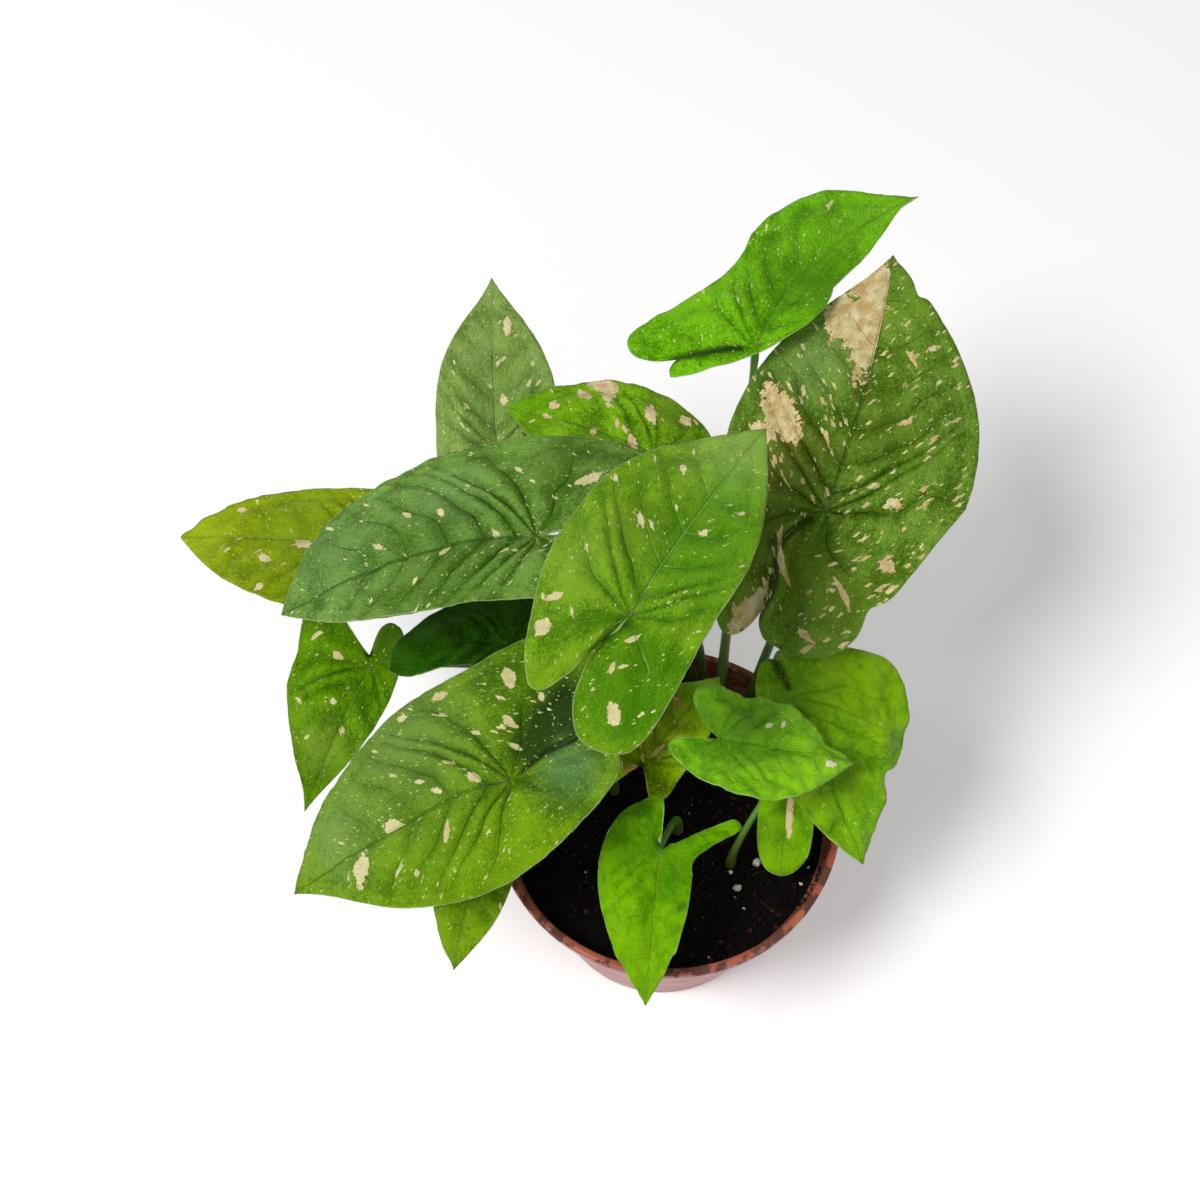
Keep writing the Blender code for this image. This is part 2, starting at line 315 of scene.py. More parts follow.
LEAVES = [
    Leaf("top_arrow", (26, 107, 210), 67, 2, 0, 81, (22, 11), (14, 20), (38, -21), (20, 46),
         shoulder=0.4, tip=(26, 12), blunt=(0.6, 0.4), waist=(10, -12), cleft=56, close=(0.8, 1), full=0.6,
         fold=12, droop=0, hang=(10, 0), sweep=-42, sway=(4, 34)),
    Leaf("rear_right", (48, 63, 182), 66, 29, 0, 88, (38, 41), (48, 46), (17, 12), (30, 40),
         shoulder=0.16, tip=(33, 36), blunt=(0.35, 1.1), waist=(0, 12), cleft=12, close=(0.8, 0.95),
         swirl=28, full=0.55, sweep=14),
    Leaf("rear_left", (-58, 102, 158), 92, 30, 0, 59, (20, 21), (24, 24), (14, 14), (10, 50),
         shoulder=0.2, tip=(25, 25), full=0.52, droop=16, close=(0.6, 0.6)),
    Leaf("rear_middle", (-5, 91, 174), 157, 2, 0, 55, (18, 21), (24, 20), (12, 8), (14, 49),
         shoulder=0.25, tip=(30, 34), full=0.5, droop=18, close=(0.6, 0.6)),
    Leaf("left_wide", (-43, 45, 200), 181, -10, 0, 88, (21, 33), (38, 36), (22, 24), (-2, 42),
         shoulder=0.25, tip=(34, 54), full=0.6, droop=24, sweep=14, blunt=(0.7, 1), close=(0.9, 0.8)),
    Leaf("front_high", (-15, 1, 232), 57, 7, 0, 76, (30, 22), (32, 36), (13, 18), (4, 42),
         shoulder=0.2, tip=(36, 26), full=0.5, blunt=(0.3, 0.85), cleft=14, close=(0.9, 0.9)),
    Leaf("far_left", (-94, 67, 150), 167, -6, 0, 80, (27, 22), (24, 24), (14, 14), (-8, 48),
         tip=(40, 40), close=(0.6, 0.6)),
    Leaf("left_low", (-101, 37, 124), 240, -25, 0, 57, (12, 24), (16, 10), (3, 30), (-14, 40),
         shoulder=0.2, tip=(12, 12), blunt=(1.2, 0.6), cleft=-34, close=(0.5, 0.5), sway=(-28, 12),
         lean=0.3, neck=0.2),
    Leaf("left_shaded", (-54, 38, 141), 170, -7, 0, 42, (9, 15), (22, 22), (12, 14), (-10, 32),
         shoulder=0.35, tip=(65, 65), sweep=36, close=(0.6, 0.6)),
    Leaf("front_left", (-53, -17, 160), 201, -18, 0, 82, (33, 36), (34, 47), (13, 29), (-12, 22),
         tip=(24, 42), blunt=(0.85, 1), waist=(3, 0), cleft=-1, full=0.52, close=(1, 1)),
    Leaf("under_left", (-61, -26, 124), 255, -24, 0, 44, (13, 14), (14, 14), (10, 10), (-18, 10),
         tip=(26, 26), full=0.5, close=(0.6, 0.6)),
    Leaf("front_arrow", (-4, -31, 128), 264, -28, 0, 52, (11, 19), (12, 17), (25, 5), (4, -5),
         tip=(22, 28), blunt=(0.6, 1.7), waist=(4, 0), cleft=28),
    Leaf("right_small", (15, -1, 150), 355, -6, 0, 45, (16, 19), (6, 16), (17, 5), (20, 16),
         shoulder=0.25, tip=(24, 42), cleft=20, close=(0.6, 0)),
    Leaf("right_round", (40, 18, 140), 297, -22, 0, 61, (36, 15), (15, 15), (8, 4), (32, 28),
         tip=(34, 34), blunt=(1, 0.6), cleft=-2, close=(1, 1), droop=22),
    Leaf("stub", (40, 4, 118), 265, -20, 0, 38, (9, 9), (8, 8), (6, 6), (22, -17),
         tip=(85, 85)),
    Leaf("olive", (-8, 3, 124), 51, 4, 0, 41, (14, 13), (17, 9), (8, 12), (10, 22)),
]
print(len(LEAVES), "leaves, the longest", max(leaf.length for leaf in LEAVES), "mm from stalk to tip")

# %% [markdown]
# ## The outline of a leaf
# Each half of the margin is three Bezier curves: tip to shoulder, shoulder to the end of the lobe, and back
# up to the stalk. A curve needs only its ends and two handles, so a few numbers give a smooth margin.

# %% Half a margin, and the whole
SINUS_GAP = -0.25  # half the width of the slit at the stalk, in millimetres. Below 0 the lobes just overlap.
SINUS_BACK = 0.06  # how far behind the stalk the slit ends, as a share of the length
SLIT_HANDLE = 0.55  # share of the lobe along which a narrow slit runs straight


def half_margin(leaf, side, steps):
    """Flat outline of one half, from the tip round the lobe to the stalk. side is 0 for left, 1 for right."""
    length = leaf.length
    widest = leaf.shoulder * length
    reach = length - widest
    slant = math.radians(leaf.tip[side])
    tip = Vector((length, 0))
    shoulder = Vector((widest, leaf.width[side]))
    lobe = Vector((-leaf.lobe[side], leaf.splay[side]))
    across = Vector((lobe.y, -lobe.x)).normalized()
    round_off = across * leaf.blunt[side] * 0.3 * lobe.length
    turn = Matrix.Rotation(math.radians(leaf.cleft if side else -leaf.cleft), 2)
    sinus = turn @ Vector((-SINUS_BACK * length, SINUS_GAP))
    slit = turn @ Vector((-SLIT_HANDLE * leaf.lobe[side], SINUS_GAP))
    notch = lobe * 0.45 + across * 0.04 * length
    inner = notch.lerp(slit, leaf.close[side])
    curves = [
        (tip, tip - Vector((math.cos(slant), -math.sin(slant))) * 0.35 * reach,
         shoulder + Vector((leaf.full * reach, 0)), shoulder),
        (shoulder, shoulder - Vector((0.45 * (widest - lobe.x), leaf.waist[side])), lobe + round_off, lobe),
        (lobe, lobe - round_off * (1 + leaf.close[side]), sinus + inner, sinus),
    ]
    points = []
    for (knot, handle_out, handle_in, end), count in zip(curves, steps):
        points += interpolate_bezier(knot, handle_out, handle_in, end, count + 1)[:-1]
    return points + [sinus]


def whole_margin(leaf, steps):
    """Down the right half from the stalk to the tip, and back up the left half."""
    right = [Vector((p.x, -p.y)) for p in half_margin(leaf, 1, steps)]
    return right[::-1] + half_margin(leaf, 0, steps)[1:]


print("margin of", LEAVES[1].name, "has", len(whole_margin(LEAVES[1], (5, 4, 3))), "coarse points")

# %% [markdown]
# ## Veins
# One strong vein runs from the stalk to the tip. Side veins leave it at a steep angle and curve towards the
# tip, and behind the stalk a fan of veins runs into the lobes. A single number does for all of them: it
# goes up by one from each vein to the next. The mesh dips where it is whole, and the shader draws a line
# there, so they agree.

# %% Vein number and spacing
VEIN_SPACING = 13.0  # between side veins along the midrib, in millimetres
VEIN_CROWD = 0.72  # under 1, the side veins start closer together near the stalk
VEIN_SLOPE = 0.7  # how far a side vein moves towards the tip for each step outwards
VEIN_CURVE = 0.45  # how much more it does so at the margin
FAN = 3  # veins into each lobe


def vein_number(leaf, x, y, side):
    """(number, spacing): number is whole on a vein, and spacing is how far apart they are here."""
    off = abs(y)
    start = x - VEIN_SLOPE * off - VEIN_CURVE * off * off / leaf.width[side]
    count = max(round(leaf.length / VEIN_SPACING), 4)
    if start >= 0:
        share = min(start / leaf.length, 1.0)
        shift = 0.35 * side * min(off / 8, 1.0) * min(start / 8, 1.0)
        spacing = leaf.length / count / VEIN_CROWD * share ** (1 - VEIN_CROWD) * 0.8
        return count * share ** VEIN_CROWD + shift, max(spacing, 0.35 * min(off, 10), 0.3)
    angle = math.atan2(-start, off)
    return -FAN * angle / (math.pi / 2), max(math.hypot(start, off) * (math.pi / 2) / FAN * 0.75, 0.3)


print("vein number half way out:", vein_number(LEAVES[1], 20, 20, 0))

# %% [markdown]
# ## Bending the blade
# A real blade is never flat. It is folded along the midrib, its margins turn down and ripple, it droops
# from stalk to tip, and between the veins it puffs up a little. Each of these is one line of arithmetic on
# a flat point, which keeps the flat leaf and the bent one in step.

# %% From a flat point to a point of the blade
MIDRIB_SOFT = 3.0  # how wide the fold at the midrib is rounded, in millimetres
CAMBER = 0.12  # how far the margins turn down, as a share of the width
RIPPLE = 1.0  # height of the ripples along the margin, in millimetres
RIPPLES = 5
PUFF = 2.4  # how high the blade swells between two side veins, in millimetres
RIM_VEIN = 4.2  # from the margin to the vein that joins up the side veins, in millimetres
RAGGED = 0.175  # how far the margin strays from its smooth curve, in millimetres


def arc(distance, turn, reach):
    """Where a curve that turns by turn over reach has got to: along its line, off its line, and its angle."""
    if abs(turn) < 1e-6:
        return distance, 0.0, 0.0
    angle = turn * distance / reach
    radius = reach / turn
    return radius * math.sin(angle), radius * (1 - math.cos(angle)), angle


def smooth(value, low, high):
    """0 below low, 1 above high, and an even slope between."""
    t = min(max((value - low) / (high - low), 0.0), 1.0)
    return t * t * (3 - 2 * t)


def hump(value, width):
    """1 at 0, and close to 0 beyond twice the width on either side."""
    return math.exp(-(value / width) ** 2)


def swelling(leaf, look, x, y, out, number, spacing, gap):
    """Fine relief in millimetres: puffed between the veins, hollow at the midrib and at the stalk, and with a
    shallow crease where the side veins join up inside the margin."""
    away = math.hypot(x, y)
    uneven = 0.8 + 1.1 * noise.noise(Vector((7.3 * math.floor(number), 5.1 * (y > 0), leaf.heading)))
    near = 0.6 + 0.4 * hump(away, 0.5 * leaf.length)
    calm = smooth(abs(y), 0, 7) * smooth(gap, RIM_VEIN, RIM_VEIN + 5) * smooth(spacing, 0.5, 5)
    z = look.puff * PUFF * abs(math.sin(math.pi * number)) ** 0.7 * calm * uneven * near
    z -= 0.22 * look.puff * hump(gap - RIM_VEIN, 0.8) * smooth(away, 8, 20)
    z -= 0.5 * hump(y, 1.1) * smooth(leaf.length - x, 0, 12) * (x > 0)
    turn = math.radians(leaf.cleft + look.valley)
    along, off = -x * math.cos(turn) + y * math.sin(turn), x * math.sin(turn) + y * math.cos(turn)
    z -= look.funnel * math.exp(-along * along / (700 if along > 0 else 90) - off * off / 40)
    place = Vector((x, y, leaf.heading)) * 0.06
    rolling = 1.1 * noise.noise(place) + 0.8 * noise.noise(place * 2.7) + 0.4 * noise.noise(place * 6.3)
    return z + look.lumpy * (rolling * smooth(away, 4, 18) + 0.5 * out * noise.noise(place * 3.1))


def shaped(leaf, look, x, y, out, along, relief):
    """What flat point (x, y) becomes in the blade's own frame. out runs 0 to 1 from the stalk to the margin,
    and along 0 to 1 round the margin: the right half, the tip, the left half."""
    side = 1 if along < 0.5 else 0
    away = math.hypot(x, y) + 0.01
    swirl = math.radians(leaf.swirl) * max(0, -x / away) * math.exp(-((away / 22) ** 4))
    x, y = x * math.cos(swirl) + y * math.sin(swirl), y * math.cos(swirl) - x * math.sin(swirl)
    z = math.tan(math.radians(leaf.fold)) * (math.hypot(y, MIDRIB_SOFT) - MIDRIB_SOFT)
    z -= CAMBER * y * y / leaf.width[side]
    z += RIPPLE * out * out * math.sin(2 * math.pi * RIPPLES * along)
    for centre, span, depth in look.curls:
        z -= depth * hump(along - centre, span) * out ** 5
    z += relief
    if x > 0:
        x, aside, swing = arc(x, math.radians(leaf.sweep), leaf.length)
        x, y = x - y * math.sin(swing), aside + y * math.cos(swing)
    reach = leaf.length if x > 0 else leaf.lobe[side]
    bend = math.radians(leaf.droop if x > 0 else leaf.hang[side])
    ahead, drop, angle = arc(abs(x), bend, reach)
    ahead += z * math.sin(angle)
    return Vector((math.copysign(ahead, x), y, z * math.cos(angle) - drop)) * MM


def leaf_frame(leaf):
    """Matrix that puts the blade where it grows."""
    turned = Matrix.Translation(Vector(leaf.at) * MM)
    for angle, axis in ((leaf.heading, "Z"), (-leaf.pitch, "Y"), (leaf.roll, "X")):
        turned = turned @ Matrix.Rotation(math.radians(angle), 4, axis)
    return turned


print("bend of 25 degrees over 80 mm drops the tip by", round(arc(80, math.radians(25), 80)[1], 1), "mm")

# %% [markdown]
# ## How each leaf is coloured
# No two leaves of this plant are marked alike. A second table holds each leaf's greens, how densely it is
# speckled, and its large cream patches; on one small leaf the near-white patches are painted glints. A patch
# is
# placed on the flat leaf: how far from the stalk towards the tip, how far to the left, its length and width,
# and how it is turned.


# %% One leaf's look
@dataclass
class Look:
    deep: str  # darker green: painted shade in the grooves by the veins, and the dark end of the leaf's uneven tone
    fresh: str  # green between the veins
    vein: str = "86a84a"
    veined: float = 0.3  # how strongly the veins show
    band: float = 0.4  # how much darker the green is painted in the grooves by the veins: painted shade
    mottle: float = 1.0  # how strong the finest unevenness of the green is
    edge: float = 0.2  # strength of the pale line at the margin
    rough: float = 0.42
    sheen: float = 0.14
    pins: float = 0.03  # share of pin-head specks
    flecks: float = 0.02  # share of longer cream specks
    # Colour of the cream specks and patches; on one leaf the near-white patches are painted glints.
    cream_and_glint: str = "dfd9a0"
    rust: float = 0.3  # how much tan and brown the cream holds
    puff: float = 1.0
    lumpy: float = 1.0  # how unevenly the whole blade rolls
    funnel: float = 2.0  # how deep the blade is drawn in at the stalk, in millimetres
    valley: float = 0  # degrees from the slit to the valley that runs back from the stalk
    lap: float = 0.6  # how far the right lobe stands above the left one where they meet
    hole: float = 0.0  # how far the lobes stand apart just behind the stalk
    wet: tuple = ()  # smoother spots, where the pale pin specks are denser and stand for painted glints: (forward, left, radius)
    curls: tuple = ()  # (place round the margin, span, depth)
    nicks: tuple = ()  # (place round the margin, span, share of the width)
    patches: tuple = ()  # (forward, left, length, width, turn)
    dabs: tuple = ()  # soft brush marks of another green; most are the leaf's own colour, and some are painted shade, sheen and light, as noted in the table: (forward, left, radius, colour, strength)


LOOKS = {
    "top_arrow": Look("407e00", "7fcd13", vein="8fc455", rough=0.34, pins=0.05, flecks=0.01, puff=0.9,
        funnel=1.5, dabs=((30, -8, 18, "427a07", 0.75), (62, 3, 16, "75ba21", 0.5),
        (8, 22, 14, "7bc116", 0.4))),
    "rear_right": Look("345800", "78a237", vein="2c5210", veined=0.45, pins=0.02, flecks=0.1, cream_and_glint="d8bd84",
        rust=0.6, lap=1.2, wet=((33, -25, 5),), curls=((0.36, 0.07, 3.5), (0.25, 0.05, 2)),
        nicks=((0.195, 0.012, 0.1), (0.455, 0.008, 0.03)), patches=((65, 3, 44, 14, 1), (62, 10, 23, 16, 33),
        (77, 6, 20, 13, 18), (25, 23, 22, 11, 40), (17, 27, 9, 6, 62), (-39, 12, 20, 8, -20),
        (-20, 3.6, 15, 3, 27), (53, -12, 7, 2, 41), (58, -18, 5, 2, -56), (33, -15, 6, 2, -66),
        (-9, -25, 6, 4, 69), (-22, -16, 11, 2, 27), (-39, -8, 7, 3, 64), (9, -20, 6, 3, 86)),
        # Of these dabs, the two small near-black ones along the slit paint a shadow line between the lobes,
        # and the broad light one on the right lobe paints light on a lobe that hangs in shade.
        dabs=((46, 18, 12, "87a95b", 0.6), (4, 25, 14, "60541f", 0.7), (16, 10, 10, "5f5a1b", 0.4),
        (-22, 14, 14, "5f6716", 0.5), (34, 30, 5, "1f3d06", 0.8), (-25, -14, 18, "76982c", 0.65),
        (30, -12, 14, "5a721d", 0.5), (-17, 8, 3, "1c3006", 0.8), (-26, 10, 3, "1c3006", 0.8),
        (72, -8, 14, "709a2a", 0.5))),
    "rear_left": Look("607e2f", "96b75e", vein="a5bb84", flecks=0.03, patches=((41, -5, 7, 3, -2),
        (16, -3, 4, 3, 5), (28, -13, 3, 2, 25)), dabs=((16, -8, 14, "749943", 0.5),)),
    "rear_middle": Look("456f02", "88c31a", pins=0.02, flecks=0.012, cream_and_glint="dcae8c", rust=0.2,
        patches=((26, -17, 12, 7, -12), (22, -13, 10, 4, -64), (30, -11, 8, 4, -34), (38, -4, 4, 4, 1),
        (39, 0, 4, 2, -8), (6, -11, 8, 4, -55), (-5, -14, 5, 4, -25), (15, -4, 4, 2, -60), (8, 0, 7, 3, -53),
        (21, 2, 5, 2, -67)), dabs=((0, -14, 9, "545618", 0.6), (44, 0, 10, "68a409", 0.5))),
    "left_wide": Look("3a6210", "81ad4b", vein="2a5216", veined=0.5, band=0.7, edge=0.45, pins=0.04,
        flecks=0.03, funnel=3, hole=1.2, patches=((-17, -16, 10, 3, 25), (39, -14, 5, 2, -52),
        # Of its dabs, the grey-green ones paint sheen on the right half and the tip, and the darker one on
        # the left half paints shade.
        (49, -6, 6, 2, -41), (28, -11, 4, 2, -65)), dabs=((66, -12, 18, "699257", 0.5),
        (28, 14, 26, "4b7221", 0.6), (26, -18, 12, "799b64", 0.4), (-8, -22, 14, "587e29", 0.5))),
    "front_high": Look("447a03", "85b21f", vein="8fb85a", veined=0.4, band=0.55, edge=0.5, funnel=3.5,
        lap=-0.6, hole=1.4, wet=((8, -8, 5), (24, 6, 4)), patches=((-16, 18, 6, 5, 0), (-7, 20, 6, 3, -48),
        (-27, -12, 7, 4, 42), (-16, -5, 4, 2, 17), (25, 12, 6, 2, 44), (46, 11, 4, 2, 41),
        # The near-black dab at the stalk paints shade in the hole between the lobes, and the pale dab at the
        # tip paints sheen.
        (31, -5, 3, 3, 55)), dabs=((-3, 0, 2.5, "0c1e04", 1), (64, 3, 15, "a0c45c", 0.75),
        (-20, -14, 16, "3b7c00", 0.75), (24, -10, 18, "3b8511", 0.55), (50, -8, 14, "50941a", 0.4),
        (22, 12, 10, "758e1f", 0.5), (6, 22, 14, "7fa739", 0.5))),
    "far_left": Look("617900", "98b110", flecks=0.03, cream_and_glint="f0cfa4", patches=((30, 1, 9, 5, -22),
        (41, 9, 5, 3, -18), (39, 20, 3, 3, -18), (57, -10, 4, 3, -10)), dabs=((72, 0, 12, "a6bf13", 0.7),
        (34, -3, 12, "85a41e", 0.6))),
    "left_low": Look("356300", "6c9f06", flecks=0.008, patches=((2, -11, 4, 3, 71), (22, -17, 4, 2, 83),
        (16, -5, 3, 2, 56)), dabs=((-6, 2, 10, "4a7604", 0.7), (32, -2, 8, "93ae40", 0.5))),
    "left_shaded": Look("0c2f00", "306702", vein="4c7a20", veined=0.4, sheen=0.1, pins=0, flecks=0),
    "front_left": Look("3e6800", "7eaa13", vein="3f6a10", veined=0.4, band=0.6, edge=0.5, pins=0.055,
        flecks=0.018, funnel=8, valley=-28, lap=-0.7, wet=((-16, -12, 5), (-26, -17, 6), (-22, -8, 4)),
        patches=((54, 6, 14, 5, 59), (39, -1, 8, 4, -25), (22, 10, 8, 2, 69), (10, -32, 6, 3, -9),
        (24, -32, 4, 3, -13), (-13, -27, 8, 4, -89), (-8, -14, 5, 3, -59), (-20, -17, 4, 2, 90),
        (9, -3, 4, 3, -49), (25, -9, 4, 2, -27), (21, -4, 4, 2, -41), (36, 17, 3, 2, 79)),
        # Of these dabs, the near-black ones paint shade in the deep valley behind the stalk, and the
        # grey-green ones paint sheen and reflections.
        dabs=((28, -26, 26, "709051", 0.6), (-9, -5, 5, "06200a", 1), (-17, -10, 6, "06200a", 1),
        (-27, -15, 8, "06200a", 1), (-14, -3, 4, "0a2c0c", 0.8), (-25, -5, 5, "123210", 0.9),
        (-20, 8, 9, "658f6d", 0.6), (21, 20, 24, "7ba90d", 0.6), (60, -8, 12, "88a664", 0.5))),
    "under_left": Look("557a00", "84ae13", pins=0.02, flecks=0.004, puff=0.6),
    "front_arrow": Look("428400", "7eba00", vein="96c828", veined=0.35, band=0.15, mottle=0.5, rough=0.34,
        # The near-black dab at the stalk paints shade in the hole between the lobes.
        pins=0, flecks=0, puff=0.35, lumpy=3, hole=2.2, dabs=((-3, 0, 2.5, "0c1e04", 1),
        (4, 8, 9, "3a7000", 0.6), (40, -2, 12, "80b806", 0.8), (0, -11, 8, "4a8400", 0.6),
        (24, 2, 10, "74aa04", 0.5))),
    # This leaf's near-white patches are painted glints.
    "right_small": Look("4c9800", "88d204", vein="a8d83a", veined=0.55, band=0.15, mottle=0.5, rough=0.24,
        sheen=0.5, pins=0.01, flecks=0, cream_and_glint="fbf8e2", rust=0, puff=0.7, lumpy=3, hole=2, wet=((36, -3, 4),
        (19, 8, 4)), patches=((36, -3, 4, 3, 20), (20, 8, 3, 1.5, 70), (15, 6, 2, 1.5, 20)),
        dabs=((8, 6, 8, "3f8200", 0.5), (28, -5, 14, "90d00c", 0.6))),
    "right_round": Look("4a8a00", "88bc00", vein="4a8202", veined=0.2, band=0.15, mottle=0.5, rough=0.28,
        sheen=0.3, pins=0.004, flecks=0, puff=0.3, lumpy=2.4, wet=((26, 22, 4), (51, 6, 5)),
        curls=((0.63, 0.05, 3),), nicks=((0.6, 0.012, 0.1),), dabs=((8, 28, 20, "84b200", 0.6),
        (4, 2, 8, "3c7400", 0.5), (50, 6, 9, "6ca40c", 0.5), (34, 4, 5, "3c7000", 0.6))),
    "stub": Look("548a00", "7db406", mottle=0.5, rough=0.32, pins=0.01, flecks=0, cream_and_glint="e6c89c",
        patches=((17, 1, 16, 3, 4),)),
    "olive": Look("658600", "c0ef0d", pins=0.02, flecks=0.06, cream_and_glint="d89a5c", patches=((23, 5, 6, 2, 63),
        (8, 5, 4, 2, -86), (5, -1, 7, 2, -18), (-5, 2, 6, 2, -26), (25, -2, 4, 2, 85)),
        dabs=((8, 6, 14, "78750d", 0.6), (30, 2, 9, "75ab12", 0.6))),
}
print("patches in the table:", sum(len(look.patches) for look in LOOKS.values()))

# %% [markdown]
# ## Building a blade
# The blade is a grid whose rows run from the stalk out to the margin, like the sticks of a fan, so every
# vein starts at the stalk and the margin is one clean row. Blender's grid tool makes it, the functions
# above shape it, and Solidify gives it a real thickness with its own materials underneath and on the edge.
# Each point is told its flat place and vein number, which the shaders read back.

# %% Blade mesh
BLADE = 0.42 * MM
FINE = 1.0
MARGIN_STEPS = (64, 44, 36)  # for a middling leaf: tip to shoulder, to the lobe's end, and back to the stalk
SPOKE_STEPS = 44


def patch_field(patches, x, y):
    """1 in the middle of a patch, 0.5 on its outline, and less outside. No patch crosses the midrib."""
    best = 0.0
    for forward, left, length, width, turn in patches:
        angle = math.radians(turn)
        dx, dy = x - forward, y - left
        u = (dx * math.cos(angle) + dy * math.sin(angle)) / (length / 2)
        v = (dy * math.cos(angle) - dx * math.sin(angle)) / (width / 2)
        if left * y >= 0:
            best = max(best, 1 - 0.5 * (abs(u) ** 1.4 + abs(v) ** 1.4) ** (1 / 1.4))
    return best


def dabbed(dabs, x, y):
    """The colour that a few soft brush marks leave at a flat point, and how strongly it shows."""
    total = Vector((0, 0, 0))
    weight = 0.0
    for forward, left, radius, colour, strength in dabs:
        share = strength * hump(math.hypot(x - forward, y - left), radius)
        total += share * Vector(paint(colour)[:3])
        weight += share
    return (*(total / max(weight, 1e-6)), min(weight, 1.0))


# How strongly a flat point lies in a smooth spot, where glints are painted as pale specks.
def gloss_glint_field(spots, x, y):
    return max([hump(math.hypot(x - u, y - v), radius) for u, v, radius in spots], default=0.0)


def open_hole(margin, leaf, look, count):
    """Parts the lobes a little just behind the stalk. Both ends of the margin run along the slit."""
    for i in range(count):
        for point, way in ((margin[i], -1), (margin[-1 - i], 1)):
            point.y += way * look.hole * hump(point.x + 0.07 * leaf.length, 0.035 * leaf.length)


def edge_distance(points, margin):
    """How far each flat point is from the margin."""
    start = np.array([p[:] for p in margin[:-1]])
    run = np.array([p[:] for p in margin[1:]]) - start
    off = np.array(points)[:, None, :] - start
    share = np.clip((off * run).sum(2) / np.maximum((run * run).sum(1), 1e-9), 0, 1)
    return np.sqrt(((off - share[..., None] * run) ** 2).sum(2).min(1))


def ragged(leaf, point):
    """How far a point of the margin strays outwards."""
    place = Vector((point.x, point.y, leaf.heading))
    stray = noise.noise(place * 0.22) + 0.6 * noise.noise(place * 0.6)
    return point.normalized() * stray * RAGGED * smooth(point.length, 10, 25)


def add_piece(name, bm, finishes, node=None):
    """Makes a smooth object of the mesh, hangs it on the root, and hides the imported part, if any, that it
    stands for.
    """
    mesh = bpy.data.meshes.new(name)
    bm.to_mesh(mesh)
    bm.free()
    mesh.shade_smooth()
    for finish in finishes:
        mesh.materials.append(finish)
    made = bpy.data.objects.new(name, mesh)
    scene.collection.objects.link(made)
    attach(made, "root")
    if node:
        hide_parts(node)
    return made


def make_blade(leaf, look, finishes):
    size = FINE * math.sqrt(leaf.length * max(leaf.width)) / 50
    steps = [max(round(n * size), 12) for n in MARGIN_STEPS]
    margin = whole_margin(leaf, steps)
    open_hole(margin, leaf, look, steps[2])
    last = len(margin) - 1
    for centre, span, depth in look.nicks:
        margin = [p * (1 - depth * hump(i / last - centre, span)) for i, p in enumerate(margin)]
    margin = [p + ragged(leaf, p) for p in margin]
    grown = leaf_frame(leaf)
    bm = bmesh.new()
    layers = bm.verts.layers
    flat_layer, vein_layer = layers.float_vector.new("flat"), layers.float_vector.new("vein")
    patch_layer, gloss_glint_layer, slit_shade_layer = (layers.float.new(name) for name in ("patch", "wet", "slit"))
    dab_layer = layers.float_color.new("dab")
    bmesh.ops.create_grid(bm, x_segments=last, y_segments=max(round(SPOKE_STEPS * size), 16), size=0.5)
    places = [margin[round((v.co.x + 0.5) * last)] * (v.co.y + 0.5) for v in bm.verts]
    flats = [p[:] for p in places]
    gaps = edge_distance(flats, margin)
    to_left, to_right = edge_distance(flats, margin[-steps[2]:]), edge_distance(flats, margin[:steps[2]])
    for vertex, flat, gap, left, right in zip(bm.verts, places, gaps, to_left, to_right):
        along = vertex.co.x + 0.5
        out = vertex.co.y + 0.5
        on_right = along < 0.5
        # meet is 1 where the two lobes meet behind the stalk: it lifts one lobe over the other, and the
        # shaders paint shade there.
        meet = 1 - smooth(left if on_right else right, 0.4, 4.0) if flat.x < 0 else 0.0
        number, spacing = vein_number(leaf, flat.x, flat.y, int(on_right))
        stray = noise.noise(Vector((flat.x, flat.y, leaf.heading)) * 0.09)
        number += 0.3 * stray * smooth(abs(flat.y), 2, 14)
        relief = swelling(leaf, look, flat.x, flat.y, out, number, spacing, gap)
        relief += look.lap * (1.0 if on_right else -0.6) * meet * smooth(flat.length, 1, 8)
        vertex.co = grown @ shaped(leaf, look, flat.x, flat.y, out, along, relief)
        vertex[flat_layer] = (flat.x, flat.y, gap)
        vertex[vein_layer] = (number, spacing, along)
        vertex[patch_layer] = patch_field(look.patches, flat.x, flat.y)
        vertex[gloss_glint_layer] = gloss_glint_field(look.wet, flat.x, flat.y)
        vertex[dab_layer] = dabbed(look.dabs, flat.x, flat.y)
        vertex[slit_shade_layer] = meet
    bmesh.ops.remove_doubles(bm, verts=bm.verts, dist=0.02 * MM)
    bmesh.ops.recalc_face_normals(bm, faces=bm.faces)
    if sum(face.normal.z for face in bm.faces) < 0:
        bmesh.ops.reverse_faces(bm, faces=bm.faces)
    blade = add_piece("blade_" + leaf.name, bm, finishes, "leaf_" + leaf.name)
    skin = blade.modifiers.new("thickness", "SOLIDIFY")
    skin.thickness = BLADE
    skin.offset = 0
    skin.material_offset = 1
    skin.material_offset_rim = 2
    return blade


print("blade detail:", FINE)

# %% [markdown]
# ## Shader groups for leaves
# Every leaf uses the same three effects, so each is made once as a group: the veins, cream cells, and torn
# patches. The cream of a variegated leaf fills whole patches between its finest veins, so its outline is
# angular. Cells of a Voronoi texture, some filled and some not, look just like that.


